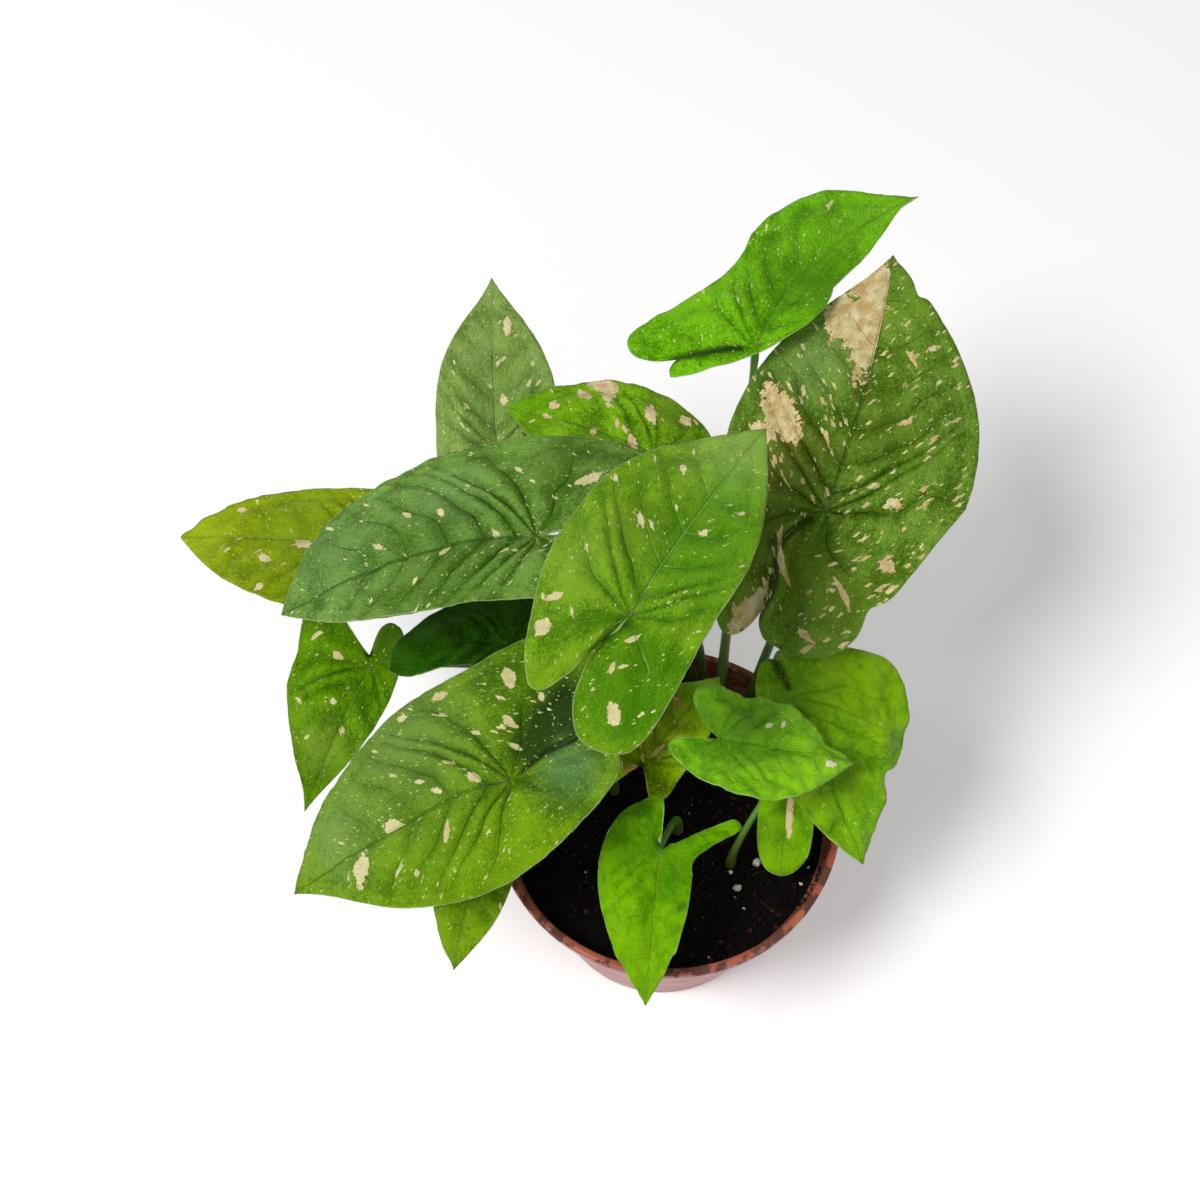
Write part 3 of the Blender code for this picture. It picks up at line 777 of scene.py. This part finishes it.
# %% Veins group
def vein_group():
    """Lines along the veins. Widths are millimetres."""
    results = ("Midrib", "Side Veins", "Between", "Network", "Rim Vein", "Rim", "Near Stalk")
    tree, given, out = new_group("leaf_veins", {"Width": 0.5, "Mesh Size": 1.6}, results)
    flat = carried(tree, "flat")["Vector"].into("SeparateXYZ")
    vein = carried(tree, "vein")["Vector"].into("SeparateXYZ")
    width = given["Width"] * flat["Z"].ramp(0.0, 22.0, 0.3, 1.0)
    rib = (abs(flat["Y"]) / (width * 1.3)).ramp(0.5, 1.3, 1.0, 0.0)
    plug(out["Midrib"], rib * flat["X"].ramp(-1.5, 0.5))
    near = vein["X"].maths("PINGPONG", 0.5)
    side = (near * vein["Y"] / (width * 0.7)).ramp(0.4, 1.4, 1.0, 0.0)
    plug(out["Side Veins"], side * (flat["Z"].ramp(3.2, 5.5) * flat["X"].ramp(-22.0, -10.0, 0.2, 1.0)))
    plug(out["Between"], (near * 2.0).ramp(0.05, 0.9))
    place = put(tree, "CombineXYZ", flat["X"], flat["Y"], 0.0)[0]
    warp = place.into("TexNoise", None, 0.35, 2.0)
    bent = place.vectors("ADD", warp[1].vectors("MULTIPLY", (2.5, 2.5, 0)))
    cells = bent.into("TexVoronoi", None, 1.0 / given["Mesh Size"], feature="DISTANCE_TO_EDGE",
                      voronoi_dimensions="2D")[0]
    plug(out["Network"], cells.ramp(0.02, 0.14, 1.0, 0.0))
    inside = flat["Z"] - ((warp[0] - 0.5) * 1.2 + RIM_VEIN)
    away = place.into("VectorMath", operation="LENGTH")["Value"]
    apart = away.ramp(8.0, 20.0)
    plug(out["Rim Vein"], abs(inside).ramp(0.05, 0.4, 1.0, 0.0) * apart)
    plug(out["Rim"], inside.ramp(-0.5, 0.1, 1.0, 0.0) * apart)
    plug(out["Near Stalk"], away.ramp(6.0, 50.0, 1.0, 0.3))
    return tree


VEINS = vein_group()
print("vein outputs:", [s.name for s in VEINS.interface.items_tree if s.in_out == "OUTPUT"])


# %% Cream cells group
def cream_group():
    """Cells of Size millimetres, Stretch times as long along the veins. Share of them, 0 to 1, is filled."""
    tree, given, out = new_group("cream_cells", {"Size": 1.0, "Stretch": 2.0, "Share": 0.05, "Seed": 0.0},
                                 ("Mask",))
    flat = carried(tree, "flat")["Vector"].into("SeparateXYZ")
    off = abs(flat["Y"])
    start = flat["X"] - off * (VEIN_SLOPE + 0.5 * VEIN_CURVE)
    seed = given["Seed"] + flat["Y"].maths("SIGN") * 9.3
    place = put(tree, "CombineXYZ", start, off / given["Stretch"], seed)[0]
    warp = place.into("TexNoise", None, 0.7 / given["Size"], 3.0)[1].vectors("SUBTRACT", (0.5, 0.5, 0.5))
    shift = warp.into("VectorMath", operation="SCALE")
    plug(shift.node.inputs["Scale"], given["Size"] * 0.7)
    bent = place.vectors("ADD", shift[0])
    cells = bent.into("TexVoronoi", None, 1.0 / given["Size"], distance="MANHATTAN")
    pick = cells["Color"].into("SeparateColor")
    small = cells["Distance"].below(pick[1].ramp(0.0, 1.0, 0.3, 0.95))
    plug(out["Mask"], pick[0].below(given["Share"]) * small)
    return tree


CREAM = cream_group()


# %% Patch edge group
def patch_group():
    """Turns the soft patches that the mesh carries into ones with a torn edge."""
    tree, given, out = new_group("torn_patches", {"Tear": 0.25, "Seed": 0.0}, ("Mask", "Outline"))
    shift = put(tree, "CombineXYZ", given["Seed"], given["Seed"], given["Seed"])[0]
    place = carried(tree, "flat")["Vector"].vectors("ADD", shift)
    pick = place.into("TexVoronoi", None, 0.8)["Color"].into("SeparateColor")[0]
    cloud = place.grain(0.25, 4.0, 0.6)
    torn = (pick - 0.5) * (given["Tear"] * 0.5) + (cloud - 0.5) * (given["Tear"] * 2.0)
    total = carried(tree, "patch")["Fac"] + torn
    plug(out["Mask"], total.ramp(0.485, 0.515))
    plug(out["Outline"], abs(total - 0.47).ramp(0.02, 0.06, 1.0, 0.0))
    return tree


TORN = patch_group()
print("shader groups:", [group.name for group in bpy.data.node_groups])

# %% [markdown]
# ## The leaf materials
# The upper side is satin: green painted deeper by the veins as shade in their grooves, fresher between them,
# with cream in specks and patches.
# The underside is paler and duller, as on the plant. The cut edge of the blade is a thin pale line. Where the
# two lobes meet, blade and edge are painted dark as shade.


# %% Upper side
def upper_side(leaf, look, seed):
    made, tree, shader = new_material("upper_" + leaf.name)
    veins = use(tree, VEINS, Width=0.42, Mesh_Size=1.0)
    flat = carried(tree, "flat")["Vector"]
    gap = flat.into("SeparateXYZ")["Z"]
    wet = carried(tree, "wet")["Fac"]
    cloud, patchy = flat.grain(0.05), flat.grain(0.17, 4.0, 0.6)
    fine, grit = flat.grain(0.7, 4.0, 0.65), flat.grain(2.4, 3.0, 0.6)
    # Painted shade: the band term makes the green darker on the veins, where the blade dips into grooves.
    tone = (veins["Between"] - 0.6) * veins["Near Stalk"] * look.band + 0.5 + veins["Rim"] * 0.12
    for speckle, share in ((cloud, 1.5), (patchy, 2.1 - look.mottle), (fine, 1.3 * look.mottle),
                           (grit, 2.6 * look.mottle)):
        tone += (speckle - 0.5) * share
    green = tone.ramp(0.05, 0.95).mix(paint(look.deep), paint(look.fresh))
    # Dabs: brush marks of the leaf's own greens, and on some leaves painted shade, sheen and light.
    if look.dabs:
        dab = carried(tree, "dab")
        green = (dab["Alpha"] * tone.ramp(0.0, 0.9, 0.75, 1.0)).mix(green, dab["Color"])
    lines = veins["Midrib"].top(veins["Side Veins"] * veins["Near Stalk"].ramp(0.3, 1.0, 0.55, 0.9))
    lines = lines.top(veins["Rim Vein"] * 0.22)
    green = (lines * look.veined).mix(green, paint(look.vein))
    green = (veins["Network"] * 0.14).mix(green, paint(look.deep))
    edge = gap.ramp(0.05, 0.4, look.edge, 0.0) * veins["Near Stalk"].ramp(0.85, 0.97, 1.0, 0.0)
    green = edge.mix(green, paint("c3d49c"))
    # Painted shade: the green goes near black where the lobes meet behind the stalk.
    slit = carried(tree, "slit")["Fac"] * gap.ramp(0.3, 2.2, 0.85, 0.0)
    green = slit.mix(green, paint("122804"))
    # Pale pin specks; in the smooth spots they are denser and paler, and stand for painted glints.
    pin_and_glint = use(tree, CREAM, Size=0.62, Stretch=1.0, Share=wet * 0.1 + look.pins, Seed=seed)["Mask"]
    fleck = use(tree, CREAM, Size=1.3, Stretch=1.3, Share=look.flecks, Seed=seed + 3.7)["Mask"]
    blot = use(tree, CREAM, Size=2.2, Stretch=1.2, Share=look.flecks * 0.6, Seed=seed + 7.1)["Mask"]
    torn = use(tree, TORN, Tear=0.3, Seed=seed)
    cream_and_glint = fleck.top(blot).top(torn["Mask"])
    tan = flat.grain(0.3).ramp(0.35, 0.65).mix(paint("e9dfae"), paint(look.cream_and_glint))
    tan = (patchy.ramp(0.45, 0.7) * look.rust).mix(tan, paint("b8923e"))
    tan = (veins["Network"].top(veins["Side Veins"]) * (look.rust * 0.5)).mix(tan, paint("9a7a3c"))
    colour = (pin_and_glint * 0.8).mix(green, wet.mix(paint("cdd888"), paint("d4e6a8")))
    colour = (torn["Outline"] * (0.6 * look.rust)).mix(colour, paint("8a5a2a"))
    colour = cream_and_glint.mix(colour, tan)
    height = lines * (-1.8 * look.veined) - veins["Network"] * 0.15 + fine * (1.1 * look.mottle)
    height = height + grit * (0.6 * look.mottle) + patchy * wet * 3.0
    gloss = fine.ramp(0.3, 0.7, look.rough - 0.06, look.rough + 0.08) + cream_and_glint * 0.1 - wet * (0.8 * look.rough)
    finish_surface(shader, colour, gloss, height, 0.0006, look.sheen)
    shader.inputs["Specular Tint"].default_value = (0.85, 1.0, 0.25, 1)
    return made


# %% Underside and edge
def blend(first, second, share):
    return Vector(paint(first)).lerp(Vector(paint(second)), share)


def under_side(leaf, look, seed):
    made, tree, shader = new_material("under_" + leaf.name)
    veins = use(tree, VEINS, Width=0.9, Mesh_Size=1.7)
    cloud = carried(tree, "flat")["Vector"].grain(0.06).ramp(0.3, 0.7)
    green = cloud.mix(blend(look.deep, "8aa26a", 0.3), blend(look.fresh, "a9bf86", 0.35))
    lines = veins["Midrib"].top(veins["Side Veins"] * 0.7)
    green = (lines * 0.55).mix(green, paint("b6c98c"))
    torn = use(tree, TORN, Tear=0.3, Seed=seed)["Mask"]
    finish_surface(shader, (torn * 0.8).mix(green, paint("dcd2ae")), 0.6, lines + veins["Network"] * 0.25,
                   0.0003, 0.35)
    return made


def margin_line(leaf, look):
    made, tree, shader = new_material("margin_" + leaf.name)
    colour = carried(tree, "flat")["Vector"].grain(0.2).mix(paint(look.fresh), paint("a9bc7c"))
    # Painted shade: the edge goes dark where the lobes meet behind the stalk.
    slit = carried(tree, "slit")["Fac"].ramp(0.1, 0.6)
    finish_surface(shader, slit.mix(colour, paint("1c3a06")), 0.5)
    return made


# %% Grow the blades
faces = 0
for index, leaf in enumerate(LEAVES):
    look = LOOKS[leaf.name]
    seed = 11.0 * index
    finishes = [upper_side(leaf, look, seed), under_side(leaf, look, seed), margin_line(leaf, look)]
    faces += len(make_blade(leaf, look, finishes).data.polygons)
print("blade faces:", faces)

# %% [markdown]
# ## Stalks
# A stalk rises from the soil and bends over to meet the blade. Near the blade it thickens into a short
# joint, and at the soil it widens into a sheath. A curve object with one bevel could make a plain tube. A
# loft of rings along the same curve lets the radius change where the plant's does, and the rib under the
# blade is a second, thinner loft.

# %% Stalk path and loft
STALK_TOP = 1.0 * MM
STALK_FOOT = 1.7 * MM
STALK_END = 2.0 * MM
STALK_RINGS = 64
STALK_SIDES = 14
RIB_STEPS = 36
RIB_SIDES = 8
RIB_REACH = 0.9  # share of the length from the stalk to the tip
RIB_DROP = 0.45 * MM  # how far the rib's middle lies below the middle of the blade
JOINT_SWELL = 0.22 * MM  # how much the stalk thickens under the blade
SHEATH_SWELL = 0.45 * MM  # how much it thickens at the soil
POT_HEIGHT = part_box("pot")[1].z
SOIL_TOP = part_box("soil")[1].z
RIM_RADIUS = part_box("pot")[1].x
SOIL_DISH = 1.5 * MM


def up(height):
    return Vector((0, 0, height))


def soil_height(x, y):
    """Height of the bed of soil at a point, in metres."""
    reach = min(math.hypot(x, y) / RIM_RADIUS, 1)
    return SOIL_TOP - SOIL_DISH * reach * reach


def stalk_path(leaf):
    """Straight up from the soil, over in a curve, and square on to the underside of the blade."""
    grown = leaf_frame(leaf)
    square = (grown.to_3x3() @ up(1)).normalized()
    top = grown @ up(-LOOKS[leaf.name].funnel * MM)
    x, y = leaf.foot[0] * MM, leaf.foot[1] * MM
    foot = Vector((x, y, soil_height(x, y)))
    start = foot + up(STALK_END)
    end = top - square * STALK_END
    span = (end - start).length
    rise = Vector((leaf.sway[0] * MM, leaf.sway[1] * MM, leaf.lean * span))
    bow = interpolate_bezier(start, start + rise, end - square * leaf.neck * span, end, STALK_RINGS)
    return [foot - up(3 * MM), foot] + bow + [top]


def loft(bm, points, radii, sides):
    """A closed tube of rings along the points. Each ring carries how far up it is, for the shader."""
    up_layer = bm.verts.layers.float_vector.get("stalk") or bm.verts.layers.float_vector.new("stalk")
    side_way = Vector((1, 0, 0))
    previous = None
    last = len(points) - 1
    for i, (point, radius) in enumerate(zip(points, radii)):
        forward = (points[min(i + 1, last)] - points[max(i - 1, 0)]).normalized()
        side_way = (side_way - forward * side_way.dot(forward)).normalized()
        third = forward.cross(side_way)
        ring = []
        for j in range(sides):
            angle = 2 * math.pi * j / sides
            vertex = bm.verts.new(point + radius * (math.cos(angle) * side_way + math.sin(angle) * third))
            vertex[up_layer] = (i / last, math.cos(angle), math.sin(angle))
            ring.append(vertex)
        if previous:
            for j in range(sides):
                k = (j + 1) % sides
                bm.faces.new((previous[j], previous[k], ring[k], ring[j]))
        else:
            bm.faces.new(ring[::-1])
        previous = ring
    bm.faces.new(previous)


def stalk_radius(leaf, share):
    """Wide at the sheath, slim above it, with a small swelling under the blade."""
    size = 0.6 + 0.4 * min(leaf.length / 70, 1.15)
    plain = STALK_FOOT + (STALK_TOP - STALK_FOOT) * share
    return size * (plain + JOINT_SWELL * hump(share - 0.95, 0.035)) + SHEATH_SWELL * hump(share, 0.10)


def rib_path(leaf, look):
    """Points under the blade, from the stalk most of the way to the tip."""
    points = []
    for i in range(RIB_STEPS + 1):
        x = RIB_REACH * leaf.length * i / RIB_STEPS
        out = x / leaf.length
        number, spacing = vein_number(leaf, x, 0.0, 0)
        relief = swelling(leaf, look, x, 0.0, out, number, spacing, leaf.length - x)
        points.append(leaf_frame(leaf) @ (shaped(leaf, look, x, 0.0, out, 0.5, relief) - up(RIB_DROP)))
    return points


# %% Stalk material
def stalk_finish(name, low, high):
    """Green that goes from the soil's end to the blade's, with fine stripes along the stalk."""
    made, tree, shader = new_material(name)
    stalk = carried(tree, "stalk")["Vector"]
    share = stalk.into("SeparateXYZ")["X"]
    stripe = stalk.vectors("MULTIPLY", (3, 5, 5)).grain(2.5, 4.0)
    colour = share.ramp(0.0, 0.55).mix(paint(low), paint(high))
    colour = stripe.ramp(0.35, 0.75, 0.0, 0.5).mix(colour, paint("2c5a10"))
    colour = share.ramp(0.0, 0.09, 0.55, 0.0).mix(colour, paint("6b5a32"))
    finish_surface(shader, colour, stripe.ramp(0.3, 0.7, 0.3, 0.5), stripe, 0.00012)
    return made


STALK_GREENS = {
    "old": stalk_finish("stalk_old", "3c4c18", "2c6214"),
    "young": stalk_finish("stalk_young", "5c7224", "5a961a"),
}


# %% Grow the stalks
YOUNG = ("front_arrow", "right_small", "right_round", "stub", "olive", "under_left", "top_arrow")


def make_stalk(leaf):
    bm = bmesh.new()
    points = stalk_path(leaf)
    loft(bm, points, [stalk_radius(leaf, i / (len(points) - 1)) for i in range(len(points))], STALK_SIDES)
    rib = rib_path(leaf, LOOKS[leaf.name])
    loft(bm, rib, [(0.75 - 0.6 * i / len(rib)) * MM for i in range(len(rib))], RIB_SIDES)
    finish = STALK_GREENS["young" if leaf.name in YOUNG else "old"]
    add_piece("petiole_" + leaf.name, bm, [finish], "stalk_" + leaf.name)


for leaf in LEAVES:
    make_stalk(leaf)
print("stalks grown:", len(LEAVES))

# %% [markdown]
# ## The pot
# A nursery pot is one thin skin of coloured plastic: a tapered wall, a narrow rolled lip and a floor with
# holes. It is turned from a profile. Blender's Screw modifier would do it, and a spin in code gives the
# same skin with the seam already closed. The holes are then cut with a Boolean.

# %% Turned pot with drain holes
WALL = 1.2 * MM
BASE_RADIUS = 40 * MM
BASE_CHAMFER = 1.5 * MM
FLOOR = 1.6 * MM
LIP_HEIGHT = 4.5 * MM
LIP_STEP = 1.4 * MM
POT_SIDES = 192
DRAIN_HOLES = 8
DRAIN_RADIUS = 3.5 * MM
DRAIN_SIDES = 40
DRAIN_CIRCLE = 27 * MM


def around(radius, angle):
    """x and y of a point on a circle about the pot's axis."""
    return radius * math.cos(angle), radius * math.sin(angle)


def wall_radius(z):
    """Outer radius of the tapered wall."""
    return BASE_RADIUS + (RIM_RADIUS - LIP_STEP - BASE_RADIUS) * z / POT_HEIGHT


def rounded(corner, before, after, radius):
    """Points of a rounded corner between two straight runs of a profile."""
    corner, before, after = Vector(corner), Vector(before), Vector(after)
    start = corner + (before - corner).normalized() * radius
    end = corner + (after - corner).normalized() * radius
    handles = start.lerp(corner, 0.55), end.lerp(corner, 0.55)
    return [tuple(p) for p in interpolate_bezier(start, *handles, end, 5)]


def pot_profile():
    """From the middle of the floor up the inside, over the lip and down the outside."""
    inner_rim = wall_radius(POT_HEIGHT) - WALL
    under = POT_HEIGHT - LIP_HEIGHT
    corners = [
        (0, FLOOR), (wall_radius(FLOOR) - WALL, FLOOR), (inner_rim, POT_HEIGHT), (RIM_RADIUS, POT_HEIGHT),
        (RIM_RADIUS - 0.3 * MM, under), (wall_radius(under), under - 0.5 * MM),
        (wall_radius(0.6 * POT_HEIGHT), 0.6 * POT_HEIGHT), (wall_radius(BASE_CHAMFER), BASE_CHAMFER),
        (BASE_RADIUS - BASE_CHAMFER, 0), (0, 0),
    ]
    points = []
    for i, radius in enumerate([0, 1.2, 0.6, 0.9, 0.5, 0.5, 2.0, 0.7, 0.7, 0]):
        if radius:
            points += rounded(corners[i], corners[i - 1], corners[i + 1], radius * MM)
        else:
            points.append(corners[i])
    return points


def spin(profile, sides):
    """A closed skin turned from a profile that starts and ends on the axis."""
    bm = bmesh.new()
    rings = []
    for radius, z in profile:
        ring = []
        for j in range(sides if radius > 1e-6 else 1):
            angle = 2 * math.pi * j / sides
            ring.append(bm.verts.new((*around(radius, angle), z)))
        rings.append(ring)
    for low, high in zip(rings, rings[1:]):
        for j in range(sides):
            k = (j + 1) % sides
            corners = [low[j % len(low)], low[k % len(low)], high[k % len(high)], high[j % len(high)]]
            bm.faces.new(dict.fromkeys(corners))
    bmesh.ops.recalc_face_normals(bm, faces=bm.faces)
    return bm


def cut_drain_holes(pot):
    for i in range(DRAIN_HOLES):
        angle = 2 * math.pi * (i + 0.5) / DRAIN_HOLES
        bm = bmesh.new()
        bmesh.ops.create_cone(bm, cap_ends=True, segments=DRAIN_SIDES, radius1=DRAIN_RADIUS,
                              radius2=DRAIN_RADIUS, depth=4 * FLOOR)
        bmesh.ops.translate(bm, verts=bm.verts, vec=(*around(DRAIN_CIRCLE, angle), 0))
        mesh = bpy.data.meshes.new("drain_cutter")
        bm.to_mesh(mesh)
        bm.free()
        cutter = bpy.data.objects.new("drain_cutter", mesh)
        scene.collection.objects.link(cutter)
        cut = pot.modifiers.new("drain", "BOOLEAN")
        cut.operation = "DIFFERENCE"
        cut.object = cutter
        bpy.context.view_layer.update()
        done = bpy.data.meshes.new_from_object(pot.evaluated_get(bpy.context.evaluated_depsgraph_get()))
        pot.modifiers.clear()
        pot.data = done
        bpy.data.objects.remove(cutter, do_unlink=True)

# %% Pot material
def pot_finish():
    """Terracotta plastic, pinker and paler on the wall under the lip, with dried dirt at the lip."""
    made, tree, shader = new_material("terracotta_plastic")
    place = put(tree, "NewGeometry")["Position"]
    height = place.into("SeparateXYZ")["Z"]
    cloud = place.grain(60.0, 4.0)
    colour = cloud.ramp(0.3, 0.7).mix(paint("ac5a42"), paint("93452f"))
    wall = height + (cloud - 0.5) * 0.006
    colour = wall.ramp(0.078, 0.0865, 0.85, 0.0).mix(colour, paint("ac6c6c"))
    scuff = place.vectors("MULTIPLY", (1, 1, 6)).grain(180.0)
    colour = scuff.ramp(0.6, 0.75, 0.0, 0.35).mix(colour, paint("dcb3a8"))
    dirt = (place.grain(90.0, 6.0, 0.65) + height.ramp(0.072, 0.09, -0.12, 0.09)).ramp(0.57, 0.64)
    colour = (dirt * 0.8).mix(colour, paint("2c1a10"))
    gloss = cloud.ramp(0.3, 0.7, 0.36, 0.5) + dirt * 0.4
    finish_surface(shader, colour, gloss, scuff + dirt, 0.00008)
    return made


pot = add_piece("nursery_pot", spin(pot_profile(), POT_SIDES), [pot_finish()], "pot")
cut_drain_holes(pot)
pot.data.shade_smooth()
pot.data.set_sharp_from_angle(angle=math.radians(40))
print("pot faces:", len(pot.data.polygons))

# %% [markdown]
# ## Soil
# Potting mix is dark and crumbly: fine peat, larger crumbs, a few fibres, and white grains of perlite. The
# bed is one closed, dented plug, so it stays a light mesh. The crumbs are real lumps scattered on it with a
# fixed seed, because bump alone would leave its outline smooth.

# %% Bed of soil
SOIL_GAP = 0.25 * MM
BED_RINGS = 56
BED_SIDES = 180
BED_DROP = 1.4 * MM  # how far the bed lies below the plain solid, so that crumbs can stand on it


def bed_bumps(x, y):
    place = Vector((x, y, 0.0))
    coarse = noise.fractal(place * 90, 0.8, 2.1, 4)
    fine = noise.fractal(place * 420, 0.9, 2.0, 3)
    return (0.9 * coarse + 0.45 * fine) * MM


def soil_surface(x, y):
    edge = smooth(wall_radius(SOIL_TOP) - WALL - math.hypot(x, y), 0, 4 * MM)
    return soil_height(x, y) - BED_DROP + bed_bumps(x, y) * (0.4 + 0.6 * edge)


def soil_finish(name, dark, light, rough):
    made, tree, shader = new_material(name)
    place = put(tree, "NewGeometry")["Position"]
    cloud = place.grain(400.0, 5.0, 0.65)
    pick = place.into("TexVoronoi", None, 900.0)["Color"].into("SeparateColor")[0]
    colour = cloud.ramp(0.35, 0.75).mix(paint(dark), paint(light))
    colour = (pick.below(0.025) * 0.6).mix(colour, paint("5a2f1c"))
    finish_surface(shader, colour, rough, cloud, 0.0006, 0.12)
    return made


def make_bed():
    low = FLOOR + SOIL_GAP
    inner = wall_radius(SOIL_TOP - SOIL_DISH) - WALL - SOIL_GAP
    profile = [(inner * i / BED_RINGS, SOIL_TOP) for i in range(BED_RINGS + 1)]
    profile += [(wall_radius(low) - WALL - SOIL_GAP, low), (0, low)]
    bm = spin(profile, BED_SIDES)
    for vertex in bm.verts:
        if vertex.co.z > SOIL_TOP - MM:
            vertex.co.z = soil_surface(vertex.co.x, vertex.co.y)
    return add_piece("potting_mix", bm, [soil_finish("dark_peat", "020101", "100a06", 0.95)], "soil")


print("soil faces:", len(make_bed().data.polygons))

# %% [markdown]
# ## Crumbs, perlite and fibres
# Each lump is a small ball pushed in and out by noise, so no two are the same. They share one mesh a kind.

# %% Kinds of lump
CRUMBS = 1500
FIBRES = 60
SMALL_GRAINS = 26
WHITE_GRAINS = (  # x, y and size in millimetres
    (31, -17, 1.6), (24, -26, 1.3), (22, -20, 0.9), (38, -15, 0.9), (49, -18, 0.5), (46, -24, 0.6),
    (-22, -12, 0.6), (-19, -6, 0.6), (-28, -20, 0.5), (26, -33, 0.6), (10, 41, 0.8), (-30, 30, 0.9),
)
LIP_DIRT = ((-85, -62, 70), (-42, -18, 60), (80, 130, 30), (170, 235, 30))  # from and to an angle, how many
luck = np.random.default_rng(7)


def lump(bm, place, size, rounds=1):
    """One rough ball, up to a third off round."""
    made = bmesh.ops.create_icosphere(bm, subdivisions=rounds, radius=1.0)["verts"]
    turn = Matrix.Rotation(luck.uniform(0, 6.28), 3, "Z") @ Matrix.Rotation(luck.uniform(0, 6.28), 3, "X")
    stretch = Vector((luck.uniform(0.7, 1.3), luck.uniform(0.7, 1.3), luck.uniform(0.6, 1.0)))
    offset = Vector((luck.uniform(0, 99), 0, 0))
    for vertex in made:
        rough = 1 + 0.35 * noise.noise(vertex.co * 1.7 + offset)
        vertex.co = Vector(place) + (turn @ (vertex.co * rough * stretch)) * size


def on_soil(reach):
    """A random place on the soil, as x and y."""
    radius = reach * math.sqrt(luck.uniform(0, 1))
    return around(radius, luck.uniform(0, 2 * math.pi))


def crumbs(bm):
    for _ in range(CRUMBS):
        x, y = on_soil(RIM_RADIUS - 4.5 * MM)
        size = MM * (0.35 + 1.1 * luck.uniform(0, 1) ** 3)
        lump(bm, (x, y, soil_surface(x, y) + 0.3 * size), size)


def fibres(bm):
    for _ in range(FIBRES):
        x, y = on_soil(RIM_RADIUS - 8 * MM)
        angle = luck.uniform(0, 2 * math.pi)
        length = luck.uniform(2, 6) * MM
        points = []
        for i in range(7):
            t = i / 6 - 0.5
            px = x + t * length * math.cos(angle)
            py = y + t * length * math.sin(angle)
            points.append(Vector((px, py, soil_surface(px, py) + (0.5 + 0.5 * math.cos(3 * t)) * MM)))
        loft(bm, points, [0.14 * MM] * 7, 5)


def perlite(bm):
    for x, y, size in WHITE_GRAINS:
        x, y, size = x * MM, y * MM, size * MM
        lump(bm, (x, y, soil_surface(x, y) + 0.7 * size), size, rounds=3)
    for _ in range(SMALL_GRAINS):
        x, y = on_soil(RIM_RADIUS - 8 * MM)
        size = MM * (0.15 + 0.35 * luck.uniform(0, 1) ** 2)
        lump(bm, (x, y, soil_surface(x, y) + 0.8 * size), size, rounds=2)


def lip_dirt(bm):
    """Crumbs left on the inside of the lip, most of them at the front."""
    for start, end, count in LIP_DIRT:
        for _ in range(count):
            angle = math.radians(luck.uniform(start, end))
            radius = wall_radius(POT_HEIGHT) - WALL - luck.uniform(0.1, 1.6) * MM
            drop = luck.uniform(0.3, 7.0) * MM
            size = luck.uniform(0.2, 0.6) * MM
            lump(bm, (*around(radius, angle), POT_HEIGHT - drop), size)


# %% Scatter them
def scatter(name, finish, build):
    bm = bmesh.new()
    build(bm)
    bmesh.ops.recalc_face_normals(bm, faces=bm.faces)
    add_piece(name, bm, [finish])


crumb_finish = soil_finish("peat_crumbs", "040202", "1c110a", 0.9)
scatter("peat_crumbs", crumb_finish, crumbs)
scatter("peat_fibres", soil_finish("root_fibre", "3a2416", "5c4028", 0.8), fibres)
scatter("perlite", soil_finish("perlite", "cfc9bd", "f2eee6", 0.8), perlite)
scatter("lip_crumbs", crumb_finish, lip_dirt)
print("crumbs:", CRUMBS, "fibres:", FIBRES, "grains:", SMALL_GRAINS + len(WHITE_GRAINS), "on the lip:",
      sum(count for _, _, count in LIP_DIRT))
